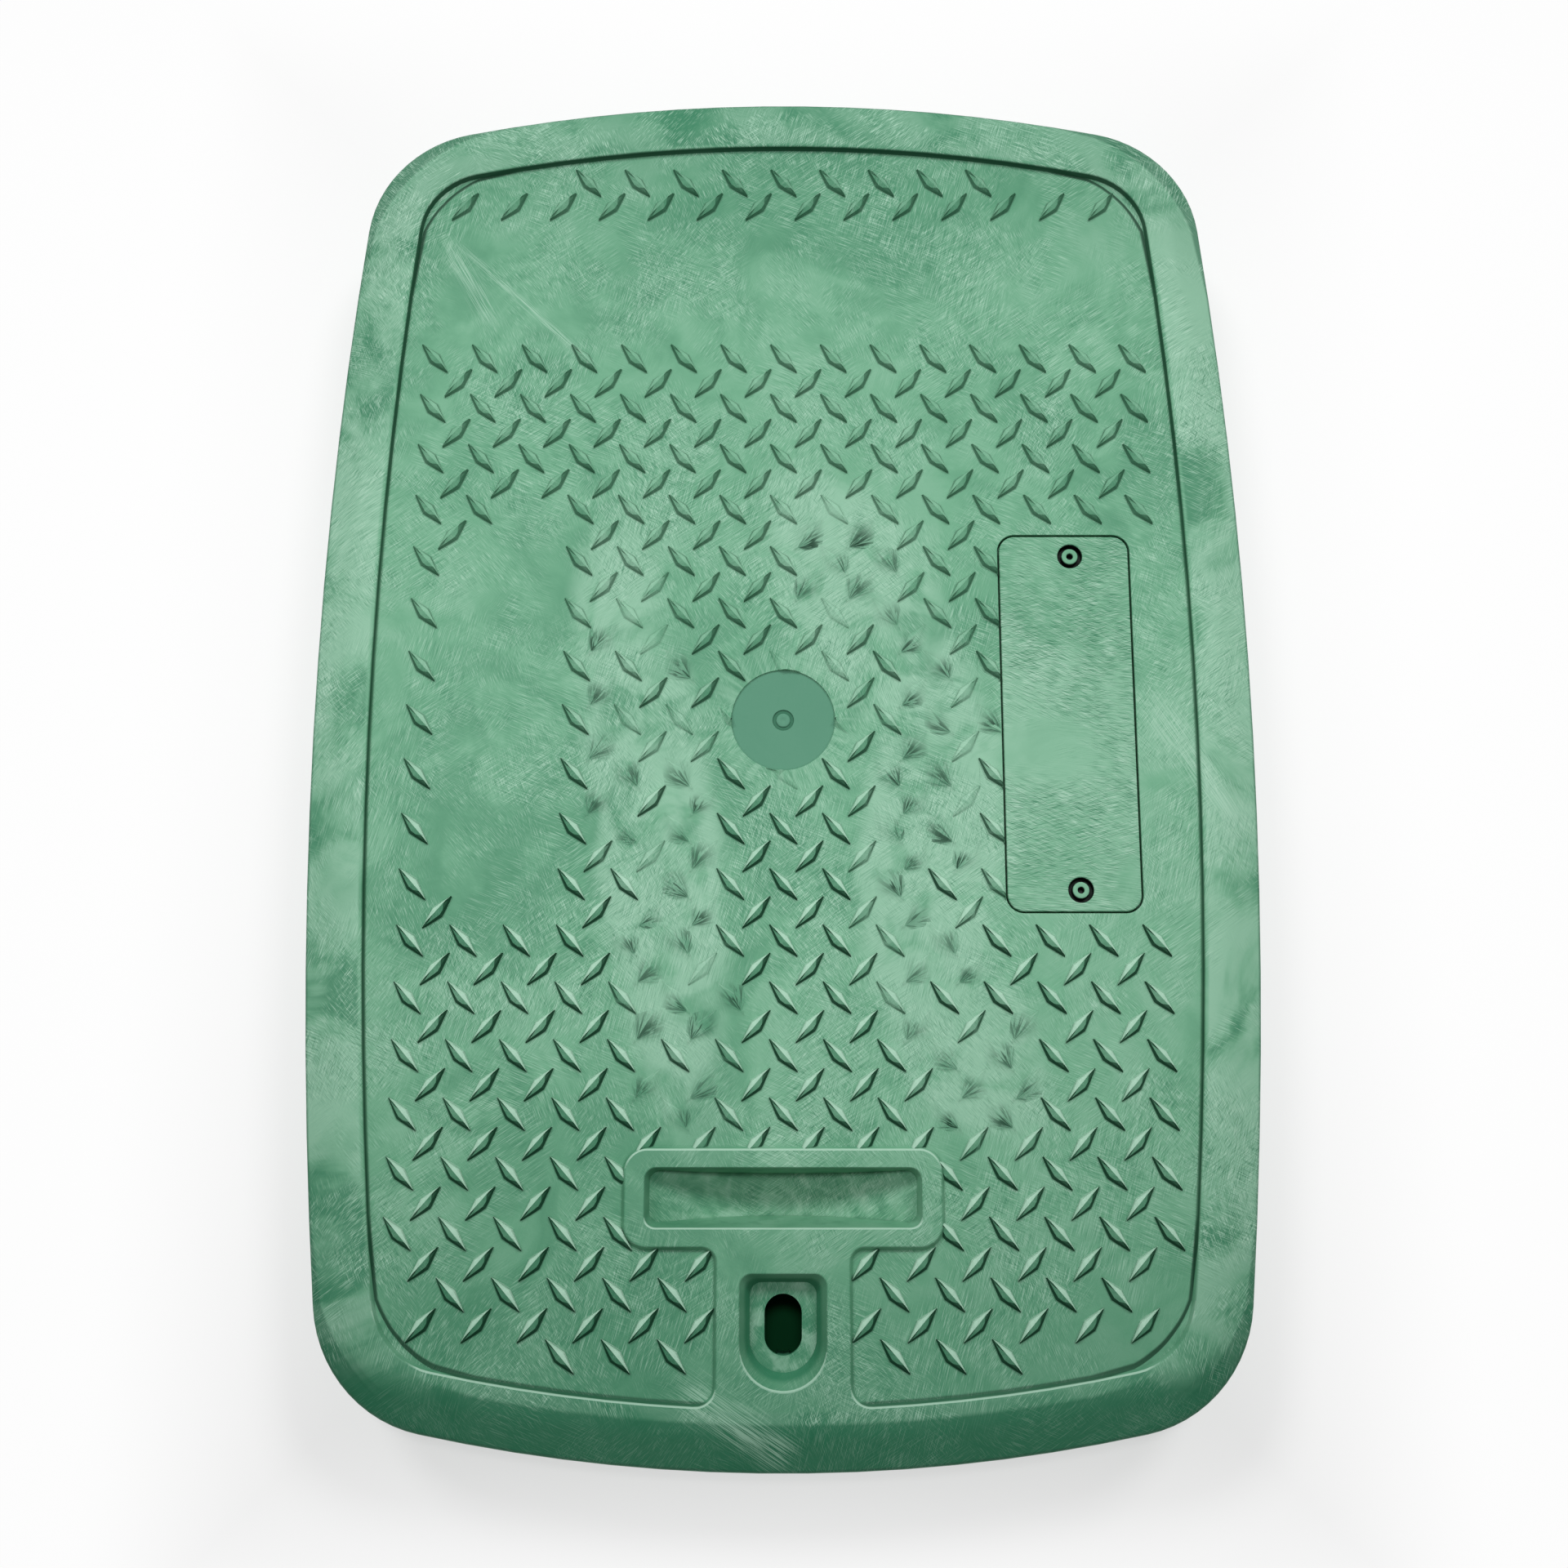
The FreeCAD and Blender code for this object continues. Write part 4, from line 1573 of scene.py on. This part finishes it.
@dataclass
class Studio:
    """Floor, lamps, world and camera, in metres; the zones on the floor are in millimetres."""

    floor_half: float = 3.0
    floor_colour: Colour = (0.93, 0.93, 0.93)
    # painted shade: the floor under the cover is dark green
    under_shade_colour: Colour = (0.008, 0.075, 0.026)
    under_half: Span = (100.0, 190.0)
    under_edge: Span = (4.0, 0.0)
    shadow_half: Span = (128.0, 200.0)
    shadow_fade: Span = (0.0, 90.0)
    glow: float = 0.4
    edge_glow: float = 0.55
    ambient: float = 0.2
    tilt: float = math.radians(13.054)
    distance: float = 0.6078
    aim: tuple[float, float, float] = (0.00025, -0.01658, 0.034)
    lens: float = 45.0
    sensor: float = 36.0
    lamps: tuple[Lamp, ...] = (
        Lamp("far_left_sun", LampKind.SUN, 0.92, (-0.55, 0.8, 0.92), (0.0, 0.0, 0.0), math.radians(16)),
        Lamp("far_right_sun", LampKind.SUN, 0.92, (0.55, 0.8, 0.92), (0.0, 0.0, 0.0), math.radians(16)),
        Lamp("overhead_spot", LampKind.SPOT, 37.0, (0.0, 0.15, 1.5), (0.0, 0.1, 0.03), 0.3, 0.335, 0.5),
    )

    def build(self) -> None:
        """Sets the whole stage."""
        self.lay_floor()
        for lamp in self.lamps:
            lamp.hang()
        self.fill_world()
        self.set_camera()
        bpy.context.scene.view_settings.view_transform = "Standard"

    def lay_floor(self) -> None:
        """A pale floor that glows a little for the camera, away from the cover and its shadow."""
        reach = self.floor_half
        corners = [(-reach, -reach, 0), (reach, -reach, 0), (reach, reach, 0), (-reach, reach, 0)]
        mesh = bpy.data.meshes.new("floor")
        mesh.from_pydata(corners, [], [(0, 1, 2, 3)])
        mesh.materials.append(self.paper())
        floor = bpy.data.objects.new("floor", mesh)
        bpy.context.scene.collection.objects.link(floor)

    def paper(self) -> bpy.types.Material:
        """The floor's paper: its glow fades in past the shadow, and under the cover it is painted dark green
        as shade.

        Returns:
            The floor's material.
        """
        tree = ShaderTree(bpy.data.materials.new("floor_paper"))
        ground = Ground.of(tree)
        past_shadow, past_cover = (
            (abs(ground.x) - half_x).most(abs(ground.y) - half_y)
            for half_x, half_y in (self.shadow_half, self.under_half)
        )
        straight, glossy, through = (
            tree.add("ShaderNodeLightPath", None, None, f"Is {kind} Ray")
            for kind in ("Camera", "Glossy", "Transmission")
        )
        # painted shade: dark green floor under the cover
        under = past_cover.step(*self.under_edge)
        pale, dark = (
            tree.add("ShaderNodeBsdfDiffuse", None, {"Color": colour})
            for colour in (self.floor_colour, self.under_shade_colour)
        )
        paper = tree.add("ShaderNodeMixShader", None, {0: under, 1: pale, 2: dark})
        light = tree.add("ShaderNodeEmission", None, {"Color": WHITE, "Strength": 1.0})
        glow = past_shadow.step(*self.shadow_fade) * self.glow + self.edge_glow
        share = straight.most(glossy, through) * (1 - under) * glow
        tree.close(tree.add("ShaderNodeMixShader", None, {0: share, 1: paper, 2: light}))
        return tree.owner

    def fill_world(self) -> None:
        """An even surround, dim as a light and white to the camera."""
        tree = ShaderTree(bpy.data.worlds.new("studio"))
        light, backdrop = (
            tree.add("ShaderNodeBackground", None, {"Color": WHITE, "Strength": strength})
            for strength in (self.ambient, 1.0)
        )
        straight = tree.add("ShaderNodeLightPath", None, None, "Is Camera Ray")
        tree.close(tree.add("ShaderNodeMixShader", None, {0: straight, 1: light, 2: backdrop}))
        bpy.context.scene.world = tree.owner

    def set_camera(self) -> None:
        """The camera, tilted from straight above towards the near end."""
        data = bpy.data.cameras.new("camera")
        data.lens = self.lens
        data.sensor_width = self.sensor
        data.sensor_fit = "HORIZONTAL"
        camera = bpy.data.objects.new("camera", data)
        back = Vector((0.0, -math.sin(self.tilt), math.cos(self.tilt))) * self.distance
        camera.location = Vector(self.aim) + back
        camera.rotation_euler = (self.tilt, 0.0, 0.0)
        bpy.context.scene.collection.objects.link(camera)
        bpy.context.scene.camera = camera


def main() -> None:
    """Builds the pieces in order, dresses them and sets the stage."""
    logging.basicConfig(level=logging.INFO)
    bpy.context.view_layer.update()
    cover_finish = CoverFinish().paint()
    shell = CoverShell()
    shell.dress(shell.build(), cover_finish)
    log.info("cover shell built")
    tread = TreadMarks()
    tread.dress(tread.build(MergedMesh.of_node(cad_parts["cover"])), cover_finish)
    log.info("tread marks built: %d faces", len(bpy.data.meshes["tread_marks"].polygons))
    pins = PlatePins()
    pins.dress(pins.build(), PinFinish().paint())
    log.info("plate pins built")
    plate = MarkerPlate()
    plate.dress(plate.build(), PlateFinish(wells=pins.centres()).paint())
    log.info("marker plate built")
    nub = GateNub()
    nub.dress(nub.build(), cover_finish)
    log.info("gate nub built")
    Studio().build()
    log.info("studio set")


if __name__ == "__main__":
    main()
